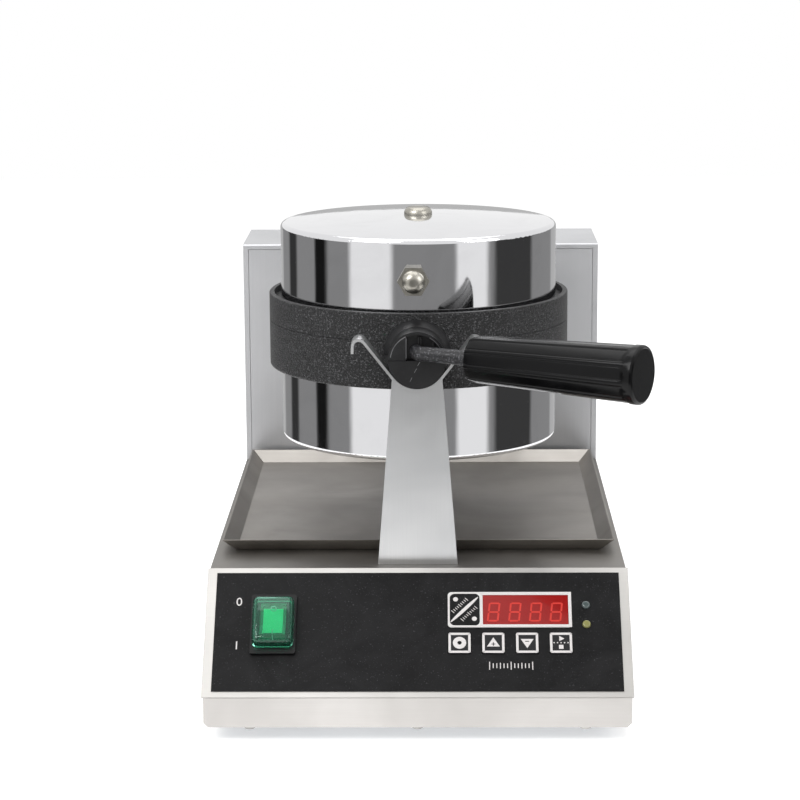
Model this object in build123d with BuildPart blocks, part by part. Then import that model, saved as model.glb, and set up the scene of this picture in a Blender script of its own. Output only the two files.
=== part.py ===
from build123d import *
import os
from math import cos, hypot, radians, sin, sqrt, tan

os.makedirs("parts", exist_ok=True)

# Rotating waffle maker: a sheet metal base with a sloped control panel, a column at the back,
# an arm at the front, and a round mould that turns over between them and opens like a lid.
# Millimetres. X to the right, Y to the back, Z up.
# The origin lies on the surface it stands on, below the middle of the whole outline, grip included.
# The numbers below are counted from the middle of the base, which lies to the left of that.

# Driving dimensions of the casing
base_width = 280.0
panel_run = 70.0
deck_length = 330.0
column_depth = 88.0
foot_height = 10.0
lip_height = 20.0
panel_drop = 68.0
column_rise = 174.0
sheet = 1.5
corner_cut = 3.0
seam = 0.3
outline_middle_x = 5.7

# Driving dimensions of the mould, heights counted from the turning axis
axis_rise = 141.0
ring_radius = 106.5
ring_wall = 14.0
ring_top = 27.0
ring_bottom = -25.5
parting = 7.5
cup_step = 8.5
upper_cup_rise = 76.0
lower_cup_rise = 77.0
skirt = 3.5
plate_gap = 0.3
running_fit = 0.05
push_fit = 0.02

# Pan head screws, one kind for the bottom plate, the back cover and the bearing
screw_radius = 2.0
screw_length = 10.5
screw_head_radius = 3.7
screw_head_height = 2.4
screw_head_round = 0.7

# Driving dimensions of the front arm, which the mould keeps its distance from
arm_setback = 11.0
arm_depth = 16.0
arm_gap = 8.5

# Places that follow from the driving dimensions
base_length = panel_run + deck_length + column_depth
front_y = -base_length / 2
deck_front_y = front_y + panel_run
column_front_y = deck_front_y + deck_length
back_y = base_length / 2
lip_bottom_z = foot_height
crease_z = lip_bottom_z + lip_height
deck_z = crease_z + panel_drop
column_top_z = deck_z + column_rise
axis_z = deck_z + axis_rise
arm_front_y = deck_front_y + arm_setback
arm_back_y = arm_front_y + arm_depth
mould_y = arm_back_y + arm_gap + ring_radius
cup_radius = ring_radius - cup_step
cavity_radius = ring_radius - ring_wall
slant = hypot(panel_run, panel_drop)


def level(rise):
    """A level plane in the middle of the mould, this far above the turning axis."""
    return Plane(origin=(0, mould_y, axis_z + rise))


def facing(y, z=axis_z, x=0.0):
    """An upright plane that faces the front: its x is X, its y is Z, and it grows towards -Y."""
    return Plane(origin=(x, y, z), x_dir=(1, 0, 0), z_dir=(0, -1, 0))


def sideways(x):
    """An upright plane that faces right: its x is Y, its y is Z, and it grows towards +X."""
    return Plane(origin=(x, 0, 0), x_dir=(0, 1, 0), z_dir=(1, 0, 0))


def on_panel(height, x=0.0, down=0.0):
    """A plane on the sloped panel: down is counted from the deck's front edge."""
    slope = Plane(origin=(0, deck_front_y, deck_z), x_dir=(1, 0, 0), z_dir=(0, -panel_drop, panel_run))
    return Plane(origin=slope.from_local_coords((x, -down, height)), x_dir=slope.x_dir, z_dir=slope.z_dir)


def save(piece, name):
    """Writes a piece to its own file, counted from below the middle of the whole outline."""
    placed = Pos(-outline_middle_x, 0, 0) * piece.part
    placed.label = name
    export_step(placed, f"parts/{name}.step")


# Control panel layout, counted from the middle and from the deck's front edge down the slope
front_sheet_thickness = 1.0
front_sheet_overhang = 1.2
fascia_thickness = 0.8
fascia_margin = 5.2
fascia_top = 4.2
fascia_foot = 4.4
fascia_face = front_sheet_thickness + fascia_thickness
timer_x = 61.2
display_down = 33.0
display_width = 82.2
display_height = 26.7
window_width = 57.0
window_height = 22.2
window_x = 71.6
frame_height = 0.7
frame_corner = 2.5
window_height_over_fascia = 0.5
window_depth = 1.6
digit_count = 4
digit_pitch = 13.95
digit_width = 12.6
digit_length = 19.0
digit_rise = 7.0
digit_down = 34.0
key_count = 4
key_down = 58.2
key_pitch = 22.3
key_width = 14.6
key_length = 15.0
key_rise = 0.9
key_travel = 0.6
key_flange = 1.2
key_play = 0.2
key_depth = 4.0
lamp_x = 112.0
lamp_downs = (29.2, 43.8)
lamp_radius = 2.8
lamp_depth = 6.0
lamp_round = 1.2

# Timer module behind the fascia
timer_margin = 3.0
timer_play = 0.55
timer_wall = 1.6
timer_depth = 26.0
board_thickness = 1.6
board_depth = 9.0
post_size = 5.0
key_row_half = (key_count - 1) / 2 * key_pitch + key_width / 2 + key_flange
timer_half = max(display_width / 2, key_row_half) + timer_play + timer_wall
timer_low = key_down + key_length / 2 + timer_margin
timer_high = display_down - display_height / 2 - timer_margin
timer_middle = (timer_low + timer_high) / 2
timer_length = timer_low - timer_high

# Mains switch
switch_x = -95.6
switch_down = 44.5
bezel_width = 30.0
bezel_length = 44.5
bezel_height = 2.4
switch_body_width = 25.0
switch_body_length = 38.0
switch_body_depth = 26.0
rocker_width = 17.0
rocker_half = 13.0
rocker_rise = 9.5
rocker_under = 2.0
rocker_tilt = 10.0
rocker_crown_radius = 52.0
rocker_pivot_depth = 3.3
rocker_pin_radius = 1.5
rocker_pin_length = 1.6
rocker_play = 0.4
rocker_end_play = 1.3
boot_width = 27.4
boot_length = 35.5
boot_height = 8.6
boot_wall = 1.2
pivot_height = fascia_face - rocker_pivot_depth
pocket_half = rocker_half + rocker_end_play

# Base shell: sides, deck, slope, lip and back in one folded and welded sheet, open below
flange_depth = 14.0
flange_inset = 9.0
bottom_screw_xs = (-110.0, 0.0, 110.0)
bottom_screw_inset = 6.5
cable_hole_width = 90.0
cable_hole_depth = 40.0
gland_x = -92.0
gland_z = 44.0
gland_radius = 8.0
flange_z = lip_bottom_z + sheet
bottom_screw_ys = (front_y + bottom_screw_inset, back_y - bottom_screw_inset)
bottom_screw_places = [(x, y) for x in bottom_screw_xs for y in bottom_screw_ys]

with BuildPart() as base_shell:
    with BuildSketch(sideways(-base_width / 2)):
        with BuildLine():
            Polyline(
                (front_y, lip_bottom_z),
                (front_y, crease_z),
                (deck_front_y, deck_z),
                (back_y, deck_z),
                (back_y, lip_bottom_z),
                close=True,
            )
        make_face()
    extrude(amount=base_width)
    chamfer(base_shell.faces().sort_by(Axis.Z)[0].edges().filter_by(Axis.Y), corner_cut)
    offset(amount=-sheet, openings=base_shell.faces().sort_by(Axis.Z)[0])
    for end_y in (front_y + flange_depth / 2, back_y - flange_depth / 2):
        with BuildSketch(Plane.XY.offset(flange_z)):
            with Locations((0, end_y)):
                Rectangle(base_width - 2 * flange_inset, flange_depth - sheet)
        extrude(amount=sheet)
    with BuildSketch(Plane.XY.offset(flange_z)):
        with Locations(*bottom_screw_places):
            Circle(screw_radius + push_fit)
    extrude(amount=sheet, mode=Mode.SUBTRACT)
    with BuildSketch(on_panel(0, timer_x, timer_middle)):
        Rectangle(2 * timer_half + seam, timer_length + seam)
    extrude(amount=-2 * sheet, mode=Mode.SUBTRACT)
    with BuildSketch(on_panel(0, switch_x, switch_down)):
        Rectangle(switch_body_width + seam, switch_body_length + seam)
    extrude(amount=-2 * sheet, mode=Mode.SUBTRACT)
    for lamp_down in lamp_downs:
        with BuildSketch(on_panel(0, lamp_x, lamp_down)):
            Circle(lamp_radius + seam / 2)
        extrude(amount=-2 * sheet, mode=Mode.SUBTRACT)
    with BuildSketch(Plane.XY.offset(deck_z)):
        with Locations((0, column_front_y + column_depth / 2)):
            Rectangle(cable_hole_width, cable_hole_depth)
    extrude(amount=-sheet, mode=Mode.SUBTRACT)
    with BuildSketch(facing(back_y, gland_z, gland_x)):
        Circle(gland_radius + running_fit)
    extrude(amount=sheet, mode=Mode.SUBTRACT)
save(base_shell, "base_shell")

# Bottom plate, screwed to the flanges of the shell
plate_side_gap = corner_cut + 2 * sheet + seam
plate_end_gap = sheet + seam

with BuildPart() as bottom_plate:
    with BuildSketch(Plane.XY.offset(lip_bottom_z)):
        Rectangle(base_width - 2 * plate_side_gap, base_length - 2 * plate_end_gap)
        with Locations(*bottom_screw_places):
            Circle(screw_radius + push_fit, mode=Mode.SUBTRACT)
    extrude(amount=sheet)
save(bottom_plate, "bottom_plate")

# Rubber feet, set well in from the edges
foot_radius = 14.0
foot_chamfer = 1.6
foot_inset_x = 40.0
foot_inset_front = 66.0
foot_inset_back = 40.0
foot_x = base_width / 2 - foot_inset_x
foot_ys = (front_y + foot_inset_front, back_y - foot_inset_back)
foot_places = [(x, y) for x in (-foot_x, foot_x) for y in foot_ys]

with BuildPart() as rubber_feet:
    with BuildSketch():
        with Locations(*foot_places):
            Circle(foot_radius)
    extrude(amount=foot_height)
    chamfer(rubber_feet.faces().group_by(Axis.Z)[0].edges(), foot_chamfer)
save(rubber_feet, "rubber_feet")

# Stainless sheet over the slope, folded a little past the sides
with BuildPart() as front_sheet:
    with BuildSketch(on_panel(0, 0, slant / 2)):
        Rectangle(base_width + 2 * front_sheet_overhang, slant)
    extrude(amount=front_sheet_thickness)
    with BuildSketch(on_panel(0, timer_x, timer_middle)):
        Rectangle(2 * timer_half + seam, timer_length + seam)
    extrude(amount=front_sheet_thickness, mode=Mode.SUBTRACT)
    with BuildSketch(on_panel(0, switch_x, switch_down)):
        Rectangle(switch_body_width + seam, switch_body_length + seam)
    extrude(amount=front_sheet_thickness, mode=Mode.SUBTRACT)
    for lamp_down in lamp_downs:
        with BuildSketch(on_panel(0, lamp_x, lamp_down)):
            Circle(lamp_radius + seam / 2)
        extrude(amount=front_sheet_thickness, mode=Mode.SUBTRACT)
save(front_sheet, "front_sheet")

# Black fascia with its openings for the display, the keys, the lamps and the switch
fascia_length = slant - fascia_top - fascia_foot
key_xs = [timer_x + (i - (key_count - 1) / 2) * key_pitch for i in range(key_count)]

with BuildPart() as control_fascia:
    with BuildSketch(on_panel(front_sheet_thickness, 0, fascia_top + fascia_length / 2)):
        Rectangle(base_width - 2 * fascia_margin, fascia_length)
    extrude(amount=fascia_thickness)
    with BuildSketch(on_panel(front_sheet_thickness, window_x, display_down)):
        Rectangle(window_width + seam, window_height + seam)
    extrude(amount=fascia_thickness, mode=Mode.SUBTRACT)
    for key_x in key_xs:
        with BuildSketch(on_panel(front_sheet_thickness, key_x, key_down)):
            Rectangle(key_width + 2 * key_play, key_length + 2 * key_play)
        extrude(amount=fascia_thickness, mode=Mode.SUBTRACT)
    with BuildSketch(on_panel(front_sheet_thickness, switch_x, switch_down)):
        Rectangle(switch_body_width + seam, switch_body_length + seam)
    extrude(amount=fascia_thickness, mode=Mode.SUBTRACT)
    for lamp_down in lamp_downs:
        with BuildSketch(on_panel(front_sheet_thickness, lamp_x, lamp_down)):
            Circle(lamp_radius + seam / 2)
        extrude(amount=fascia_thickness, mode=Mode.SUBTRACT)
save(control_fascia, "control_fascia")

# Display frame with the plain tile at its left, and the red window beside it
with BuildPart() as display_frame:
    with BuildSketch(on_panel(fascia_face, timer_x, display_down)):
        RectangleRounded(display_width, display_height, frame_corner)
    extrude(amount=frame_height)
    with BuildSketch(on_panel(fascia_face, window_x, display_down)):
        Rectangle(window_width + seam, window_height + seam)
    extrude(amount=frame_height, mode=Mode.SUBTRACT)
save(display_frame, "display_frame")

window_top = fascia_face + window_height_over_fascia

with BuildPart() as display_window:
    with BuildSketch(on_panel(window_top - window_depth, window_x, display_down)):
        Rectangle(window_width, window_height)
    extrude(amount=window_depth)
save(display_window, "display_window")

# Timer case, a tray behind the fascia with four posts for its board
case_floor = front_sheet_thickness - timer_depth
board_top = front_sheet_thickness - board_depth
board_bottom = board_top - board_thickness
post_x = timer_half - timer_wall - post_size / 2
post_down = timer_length / 2 - timer_wall - post_size / 2
post_places = [(x, y) for x in (-post_x, post_x) for y in (-post_down, post_down)]

with BuildPart() as timer_case:
    with BuildSketch(on_panel(case_floor, timer_x, timer_middle)):
        Rectangle(2 * timer_half, timer_length)
    extrude(amount=timer_depth)
    with BuildSketch(on_panel(case_floor + timer_wall, timer_x, timer_middle)):
        Rectangle(2 * (timer_half - timer_wall), timer_length - 2 * timer_wall)
    extrude(amount=timer_depth, mode=Mode.SUBTRACT)
    with BuildSketch(on_panel(case_floor + timer_wall, timer_x, timer_middle)):
        with Locations(*post_places):
            Rectangle(post_size, post_size)
    extrude(amount=board_bottom - case_floor - timer_wall)
save(timer_case, "timer_case")

with BuildPart() as timer_board:
    with BuildSketch(on_panel(board_bottom, timer_x, timer_middle)):
        Rectangle(2 * (timer_half - timer_wall - seam), timer_length - 2 * (timer_wall + seam))
    extrude(amount=board_thickness)
save(timer_board, "timer_board")

digit_xs = [window_x + (i - (digit_count - 1) / 2) * digit_pitch for i in range(digit_count)]

with BuildPart() as digit_modules:
    for digit_x in digit_xs:
        with BuildSketch(on_panel(board_top, digit_x, digit_down)):
            Rectangle(digit_width, digit_length)
        extrude(amount=digit_rise)
save(digit_modules, "digit_modules")

# Keys with a flange behind the fascia, each over a small push switch on the board
key_top = fascia_face + key_rise
key_flange_top = front_sheet_thickness - key_play
key_bottom = key_flange_top - key_depth
key_switch_size = 6.0
key_names = ("set_key", "up_key", "down_key", "start_key")
corner_radius = 1.6

with BuildPart() as key_switches:
    for key_x in key_xs:
        with BuildSketch(on_panel(board_top, key_x, key_down)):
            Rectangle(key_switch_size, key_switch_size)
        extrude(amount=key_bottom - board_top - key_travel - key_play)
save(key_switches, "key_switches")

for key_x, key_name in zip(key_xs, key_names):
    with BuildPart() as key:
        with BuildSketch(on_panel(key_bottom, key_x, key_down)):
            Circle(key_switch_size / 2)
        extrude(amount=key_depth)
        with BuildSketch(on_panel(key_flange_top - key_flange, key_x, key_down)):
            Rectangle(key_width + 2 * key_flange, key_length + 2 * key_flange)
        extrude(amount=key_flange)
        with BuildSketch(on_panel(key_flange_top, key_x, key_down)):
            RectangleRounded(key_width, key_length, corner_radius)
        extrude(amount=key_top - key_flange_top)
    save(key, key_name)

# Indicator lamps: a round body through the panel with a low dome
for lamp_down, lamp_name in zip(lamp_downs, ("upper_lamp", "lower_lamp")):
    with BuildPart() as lamp:
        with BuildSketch(on_panel(-lamp_depth, lamp_x, lamp_down)):
            Circle(lamp_radius)
        lamp_face = fascia_face + lamp_radius / 2
        extrude(amount=lamp_face + lamp_depth)
        lamp_tip = on_panel(lamp_face, lamp_x, lamp_down).origin
        fillet(lamp.edges().filter_by(GeomType.CIRCLE).sort_by_distance(lamp_tip)[0], lamp_round)
    save(lamp, lamp_name)

# Mains switch: bezel, body with a pocket, rocker on two stub pins, and a clear boot over it
with BuildPart() as switch_bezel:
    with BuildSketch(on_panel(fascia_face, switch_x, switch_down)):
        RectangleRounded(bezel_width, bezel_length, corner_radius)
        Rectangle(rocker_width + 2 * rocker_play, 2 * pocket_half, mode=Mode.SUBTRACT)
    extrude(amount=bezel_height)
save(switch_bezel, "switch_bezel")

pivot = on_panel(pivot_height, switch_x, switch_down)
pocket_floor = pivot_height - rocker_under - rocker_half * sin(radians(rocker_tilt)) - rocker_play

with BuildPart() as switch_body:
    with BuildSketch(on_panel(fascia_face - switch_body_depth, switch_x, switch_down)):
        Rectangle(switch_body_width, switch_body_length)
    extrude(amount=switch_body_depth)
    with BuildSketch(on_panel(pocket_floor, switch_x, switch_down)):
        Rectangle(rocker_width + 2 * rocker_play, 2 * pocket_half)
    extrude(amount=fascia_face - pocket_floor, mode=Mode.SUBTRACT)
    with BuildSketch(Plane(origin=pivot.origin, x_dir=pivot.y_dir, z_dir=(1, 0, 0))):
        Circle(rocker_pin_radius + running_fit)
    extrude(amount=rocker_width / 2 + 2 * rocker_play + rocker_pin_length, both=True, mode=Mode.SUBTRACT)
save(switch_body, "switch_body")

rocker_along = pivot.y_dir * cos(radians(rocker_tilt)) - pivot.z_dir * sin(radians(rocker_tilt))
rocker_plane = Plane(origin=pivot.origin, x_dir=rocker_along, z_dir=(1, 0, 0))

with BuildPart() as switch_rocker:
    with BuildSketch(rocker_plane):
        with BuildLine():
            RadiusArc((-rocker_half, rocker_rise), (rocker_half, rocker_rise), -rocker_crown_radius)
            Polyline(
                (rocker_half, rocker_rise),
                (rocker_half, 0),
                (rocker_under, -rocker_under),
                (-rocker_under, -rocker_under),
                (-rocker_half, 0),
                (-rocker_half, rocker_rise),
            )
        make_face()
    extrude(amount=rocker_width / 2, both=True)
    with BuildSketch(rocker_plane):
        Circle(rocker_pin_radius)
    extrude(amount=rocker_width / 2 + rocker_play + rocker_pin_length, both=True)
save(switch_rocker, "switch_rocker")

boot_base = fascia_face + bezel_height

with BuildPart() as switch_boot:
    with BuildSketch(on_panel(boot_base, switch_x, switch_down)):
        RectangleRounded(boot_width, boot_length, 2 * corner_radius)
    extrude(amount=boot_height)
    boot_top = switch_boot.faces().sort_by_distance(
        on_panel(boot_base + boot_height, switch_x, switch_down).origin
    )[0]
    fillet(boot_top.edges(), 2 * corner_radius)
    with BuildSketch(on_panel(boot_base, switch_x, switch_down)):
        RectangleRounded(boot_width - 2 * boot_wall, boot_length - 2 * boot_wall, corner_radius)
    extrude(amount=boot_height - boot_wall, mode=Mode.SUBTRACT)
save(switch_boot, "switch_boot")

# Column: sides and top in one folded sheet, a front sheet let in, and a cover at the back
column_lip = 4.0
cover_flange = 10.0
return_depth = 12.0
cover_screw_inset = 26.0
column_height = column_top_z - deck_z
column_middle_y = column_front_y + column_depth / 2
cover_screw_x = base_width / 2 - sheet - cover_flange / 2
cover_screw_rises = (cover_screw_inset, column_height - cover_screw_inset)
cover_screw_places = [(x, z) for x in (-cover_screw_x, cover_screw_x) for z in cover_screw_rises]

with BuildPart() as column_shell:
    with BuildSketch(Plane.XY.offset(deck_z)):
        with Locations((0, column_middle_y)):
            Rectangle(base_width, column_depth)
    extrude(amount=column_height)
    top_front_edge = column_shell.edges().filter_by(Axis.X).group_by(Axis.Z)[-1].sort_by(Axis.Y)[0]
    fillet(top_front_edge, sheet)
    with BuildSketch(facing(back_y, deck_z)):
        with Locations((0, (column_height - sheet) / 2)):
            Rectangle(base_width - 2 * sheet, column_height - sheet)
    extrude(amount=column_depth - sheet, mode=Mode.SUBTRACT)
    with BuildSketch(facing(back_y, deck_z)):
        with Locations((0, (column_height - column_lip) / 2)):
            Rectangle(base_width - 2 * column_lip, column_height - column_lip)
    extrude(amount=column_depth, mode=Mode.SUBTRACT)
    with BuildSketch(facing(back_y - sheet, deck_z)):
        with Locations(
            (cover_screw_x, column_height / 2),
            (-cover_screw_x, column_height / 2),
        ):
            Rectangle(cover_flange, column_height)
        with Locations(*cover_screw_places):
            Circle(screw_radius + push_fit, mode=Mode.SUBTRACT)
    extrude(amount=sheet)
save(column_shell, "column_shell")

shaft_radius = 12.0
shaft_bore_radius = 7.0
shaft_clearance = 1.0
bearing_flange_radius = 26.0
bearing_screw_circle = 21.0
bearing_screw_step = bearing_screw_circle * cos(radians(45))
bearing_screw_sides = (-bearing_screw_step, bearing_screw_step)
bearing_screw_places = [(x, y) for x in bearing_screw_sides for y in bearing_screw_sides]
front_sheet_half = base_width / 2 - column_lip - seam
column_sheet_height = column_height - column_lip - seam

with BuildPart() as column_front:
    with BuildSketch(facing(column_front_y + return_depth, deck_z)):
        with Locations((0, column_sheet_height / 2)):
            Rectangle(2 * front_sheet_half, column_sheet_height)
    extrude(amount=return_depth)
    with BuildSketch(facing(column_front_y + return_depth, deck_z)):
        with Locations((0, (column_sheet_height - sheet) / 2)):
            Rectangle(2 * (front_sheet_half - sheet), column_sheet_height - sheet)
    extrude(amount=return_depth - sheet, mode=Mode.SUBTRACT)
    with BuildSketch(facing(column_front_y + sheet)):
        Circle(shaft_radius + shaft_clearance)
        with Locations(*bearing_screw_places):
            Circle(screw_radius + push_fit)
    extrude(amount=sheet, mode=Mode.SUBTRACT)
save(column_front, "column_front")

vent_count = 7
vent_length = 60.0
vent_width = 4.0
vent_pitch = 9.0

with BuildPart() as back_cover:
    with BuildSketch(facing(back_y, deck_z)):
        with Locations((0, (column_height - sheet - seam) / 2)):
            Rectangle(base_width - 2 * (sheet + seam), column_height - sheet - seam)
        with Locations(*cover_screw_places):
            Circle(screw_radius + push_fit, mode=Mode.SUBTRACT)
        with Locations((0, column_height / 2)):
            with GridLocations(0, vent_pitch, 1, vent_count):
                SlotOverall(vent_length, vent_width, mode=Mode.SUBTRACT)
    extrude(amount=sheet)
save(back_cover, "back_cover")

# Front arm: a tapered channel, open towards the mould, cut to the round of the saddle
arm_sheet = 2.0
arm_foot_width = 54.0
arm_top_width = 33.6
arm_top_drop = 13.0
trunnion_radius = 19.3
saddle_gap = 0.3
strip_thickness = 1.8
strip_overhang = 2.0
arm_height = axis_rise - arm_top_drop
saddle_radius = trunnion_radius + saddle_gap + strip_thickness


def arm_corners(inset):
    """Corners of the arm seen from the front, drawn in by the inset at both sides."""
    foot = arm_foot_width / 2 - inset
    top = arm_top_width / 2 - inset
    return [(-foot, 0), (foot, 0), (top, arm_height), (-top, arm_height)]


with BuildPart() as front_arm:
    with BuildSketch(facing(arm_back_y, deck_z)):
        with BuildLine():
            Polyline(*arm_corners(0), close=True)
        make_face()
    extrude(amount=arm_depth)
    with BuildSketch(facing(arm_back_y, deck_z)):
        with BuildLine():
            Polyline(*arm_corners(arm_sheet), close=True)
        make_face()
    extrude(amount=arm_depth - arm_sheet, mode=Mode.SUBTRACT)
    with BuildSketch(facing(arm_back_y)):
        Circle(saddle_radius)
    extrude(amount=arm_depth, mode=Mode.SUBTRACT)
save(front_arm, "front_arm")

# Saddle strip: bent round below the trunnion, up at both sides, and over at the ears
ear_slope = 52.0
ear_reach = 42.6
ear_tip_reach = 43.2
ear_tip_rise = 4.4
ear_bend = 4.3
strip_line = saddle_radius - strip_thickness / 2
strip_apex = -strip_line / cos(radians(ear_slope))
ear_peak = strip_apex + ear_reach * tan(radians(ear_slope))

with BuildPart() as saddle_strip:
    with BuildSketch(facing(arm_back_y)):
        with BuildLine():
            FilletPolyline(
                (-ear_tip_reach, ear_tip_rise),
                (-ear_reach, ear_peak),
                (0, strip_apex),
                (ear_reach, ear_peak),
                (ear_tip_reach, ear_tip_rise),
                radius=[ear_bend, strip_line, ear_bend],
            )
        trace(line_width=strip_thickness)
    extrude(amount=arm_depth + strip_overhang)
save(saddle_strip, "saddle_strip")

# Turning bearing in the column: outer flange, housing, two bushes and the screws that join them
housing_flange_radius = 26.0
housing_flange = 6.0
housing_radius = 22.0
housing_length = 52.0
bush_radius = 15.0
bush_length = 14.0
flange_thickness = 3.0
housing_y = column_front_y + sheet
housing_back_y = housing_y + housing_length

with BuildPart() as bearing_flange:
    with BuildSketch(facing(column_front_y)):
        Circle(bearing_flange_radius)
        Circle(shaft_radius + shaft_clearance, mode=Mode.SUBTRACT)
        with Locations(*bearing_screw_places):
            Circle(screw_radius + push_fit, mode=Mode.SUBTRACT)
    extrude(amount=flange_thickness)
save(bearing_flange, "bearing_flange")

with BuildPart() as bearing_housing:
    with BuildSketch(facing(housing_y + housing_flange)):
        Circle(housing_flange_radius)
    extrude(amount=housing_flange)
    with BuildSketch(facing(housing_back_y)):
        Circle(housing_radius)
    extrude(amount=housing_length - housing_flange)
    with BuildSketch(facing(housing_back_y)):
        Circle(bush_radius + push_fit)
    extrude(amount=housing_length, mode=Mode.SUBTRACT)
    with BuildSketch(facing(housing_y + housing_flange)):
        with Locations(*bearing_screw_places):
            Circle(screw_radius + push_fit)
    extrude(amount=housing_flange, mode=Mode.SUBTRACT)
save(bearing_housing, "bearing_housing")

with BuildPart() as bearing_bushes:
    for bush_y in (housing_y + bush_length, housing_back_y):
        with BuildSketch(facing(bush_y)):
            Circle(bush_radius)
            Circle(shaft_radius + running_fit, mode=Mode.SUBTRACT)
        extrude(amount=bush_length)
save(bearing_bushes, "bearing_bushes")

# The screws: six below the base, four in the back cover and four round the bearing
screw_planes = [Plane(origin=(x, y, lip_bottom_z), z_dir=(0, 0, -1)) for x, y in bottom_screw_places]
for x, y in cover_screw_places:
    screw_planes.append(Plane(origin=(x, back_y, deck_z + y), z_dir=(0, 1, 0)))
for x, y in bearing_screw_places:
    screw_planes.append(Plane(origin=(x, column_front_y - flange_thickness, axis_z + y), z_dir=(0, -1, 0)))

with BuildPart() as pan_head_screw:
    with BuildSketch():
        Circle(screw_head_radius)
    extrude(amount=screw_head_height)
    fillet(pan_head_screw.faces().sort_by(Axis.Z)[-1].edges(), screw_head_round)
    with BuildSketch():
        Circle(screw_radius)
    extrude(amount=-screw_length)

with BuildPart() as machine_screws:
    for screw_plane in screw_planes:
        add(screw_plane.location * pan_head_screw.part)
save(machine_screws, "machine_screws")

# Collar with a finger on the shaft, and the block that stops the finger after half a turn
collar_radius = 19.0
collar_length = 12.0
finger_reach = 31.0
finger_half = 4.0
stop_width = 68.0
stop_depth = 36.0
stop_grip = 10.0
collar_y = housing_back_y + seam

with BuildPart() as shaft_collar:
    with BuildSketch(facing(collar_y + collar_length)):
        Circle(collar_radius)
        with Locations((finger_reach / 2, 0)):
            Rectangle(finger_reach, 2 * finger_half)
        Circle(shaft_radius + push_fit, mode=Mode.SUBTRACT)
    extrude(amount=collar_length)
save(shaft_collar, "shaft_collar")

with BuildPart() as stop_block:
    with BuildSketch(facing(collar_y + collar_length)):
        with Locations((0, -finger_half - seam - stop_depth / 2)):
            Rectangle(stop_width, stop_depth)
        Circle(housing_radius + running_fit, mode=Mode.SUBTRACT)
    extrude(amount=collar_length + stop_grip)
save(stop_block, "stop_block")

# Cable gland through the back wall of the base
gland_hex = 22.0
gland_hex_length = 6.0
gland_cap_radius = 10.0
gland_cap_length = 12.5
gland_cap_round = 2.5
gland_bore_radius = 4.5
gland_thread = 9.0
gland_nut_length = 4.5

with BuildPart() as cable_gland:
    with BuildSketch(facing(back_y, gland_z, gland_x)):
        RegularPolygon(gland_hex / 2, 6, major_radius=False)
    extrude(amount=-gland_hex_length)
    with BuildSketch(facing(back_y + gland_hex_length, gland_z, gland_x)):
        Circle(gland_cap_radius)
    extrude(amount=-gland_cap_length)
    fillet(cable_gland.faces().sort_by(Axis.Y)[-1].edges(), gland_cap_round)
    with BuildSketch(facing(back_y, gland_z, gland_x)):
        Circle(gland_radius)
    extrude(amount=gland_thread)
    with BuildSketch(facing(back_y - sheet, gland_z, gland_x)):
        RegularPolygon(gland_hex / 2, 6, major_radius=False)
    extrude(amount=gland_nut_length)
    with BuildSketch(facing(back_y + gland_hex_length + gland_cap_length, gland_z, gland_x)):
        Circle(gland_bore_radius)
    extrude(amount=gland_hex_length + gland_cap_length + gland_thread, mode=Mode.SUBTRACT)
save(cable_gland, "cable_gland")

# What stands on the bottom plate: terminal block, relay and transformer, each with a low cap
terminal_inset = 39.0
relay_inset = 184.0
relay_x = -30.0
transformer_x = 60.0
inside_corner = 2.5
cap_height = 5.0
cap_inset = 6.0
floor_z = lip_bottom_z + sheet
inside_pieces = {
    "terminal_block": ((gland_x, back_y - terminal_inset), (60.0, 22.0, 20.0)),
    "relay": ((relay_x, back_y - relay_inset), (46.0, 62.0, 48.0)),
    "transformer": ((transformer_x, back_y - relay_inset), (54.0, 46.0, 44.0)),
}

for piece_name, (middle, (width, length, height)) in inside_pieces.items():
    with BuildPart() as inside_piece:
        with BuildSketch(Plane.XY.offset(floor_z)):
            with Locations(middle):
                Rectangle(width, length)
        extrude(amount=height)
        chamfer(inside_piece.edges().filter_by(Axis.Z), inside_corner)
        with BuildSketch(Plane.XY.offset(floor_z + height)):
            with Locations(middle):
                Rectangle(width - 2 * cap_inset, length - 2 * cap_inset)
        extrude(amount=cap_height)
    save(inside_piece, piece_name)

# Drip tray on the deck, with walls that lean outwards, free to slide out sideways
tray_width = 271.0
tray_front_gap = 40.0
tray_back_gap = 6.0
tray_height = 9.5
tray_sheet = 1.0
tray_lean = 45.0
tray_length = deck_length - tray_front_gap - tray_back_gap
tray_middle_y = deck_front_y + tray_front_gap + tray_length / 2
tray_spread = tray_height * tan(radians(tray_lean))

with BuildPart() as drip_tray:
    with BuildSketch(Plane.XY.offset(deck_z)):
        with Locations((0, tray_middle_y)):
            Rectangle(tray_width - 2 * tray_spread, tray_length - 2 * tray_spread)
    extrude(amount=tray_height, taper=-tray_lean)
    offset(amount=-tray_sheet, openings=drip_tray.faces().sort_by(Axis.Z)[-1])
save(drip_tray, "drip_tray")

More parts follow.
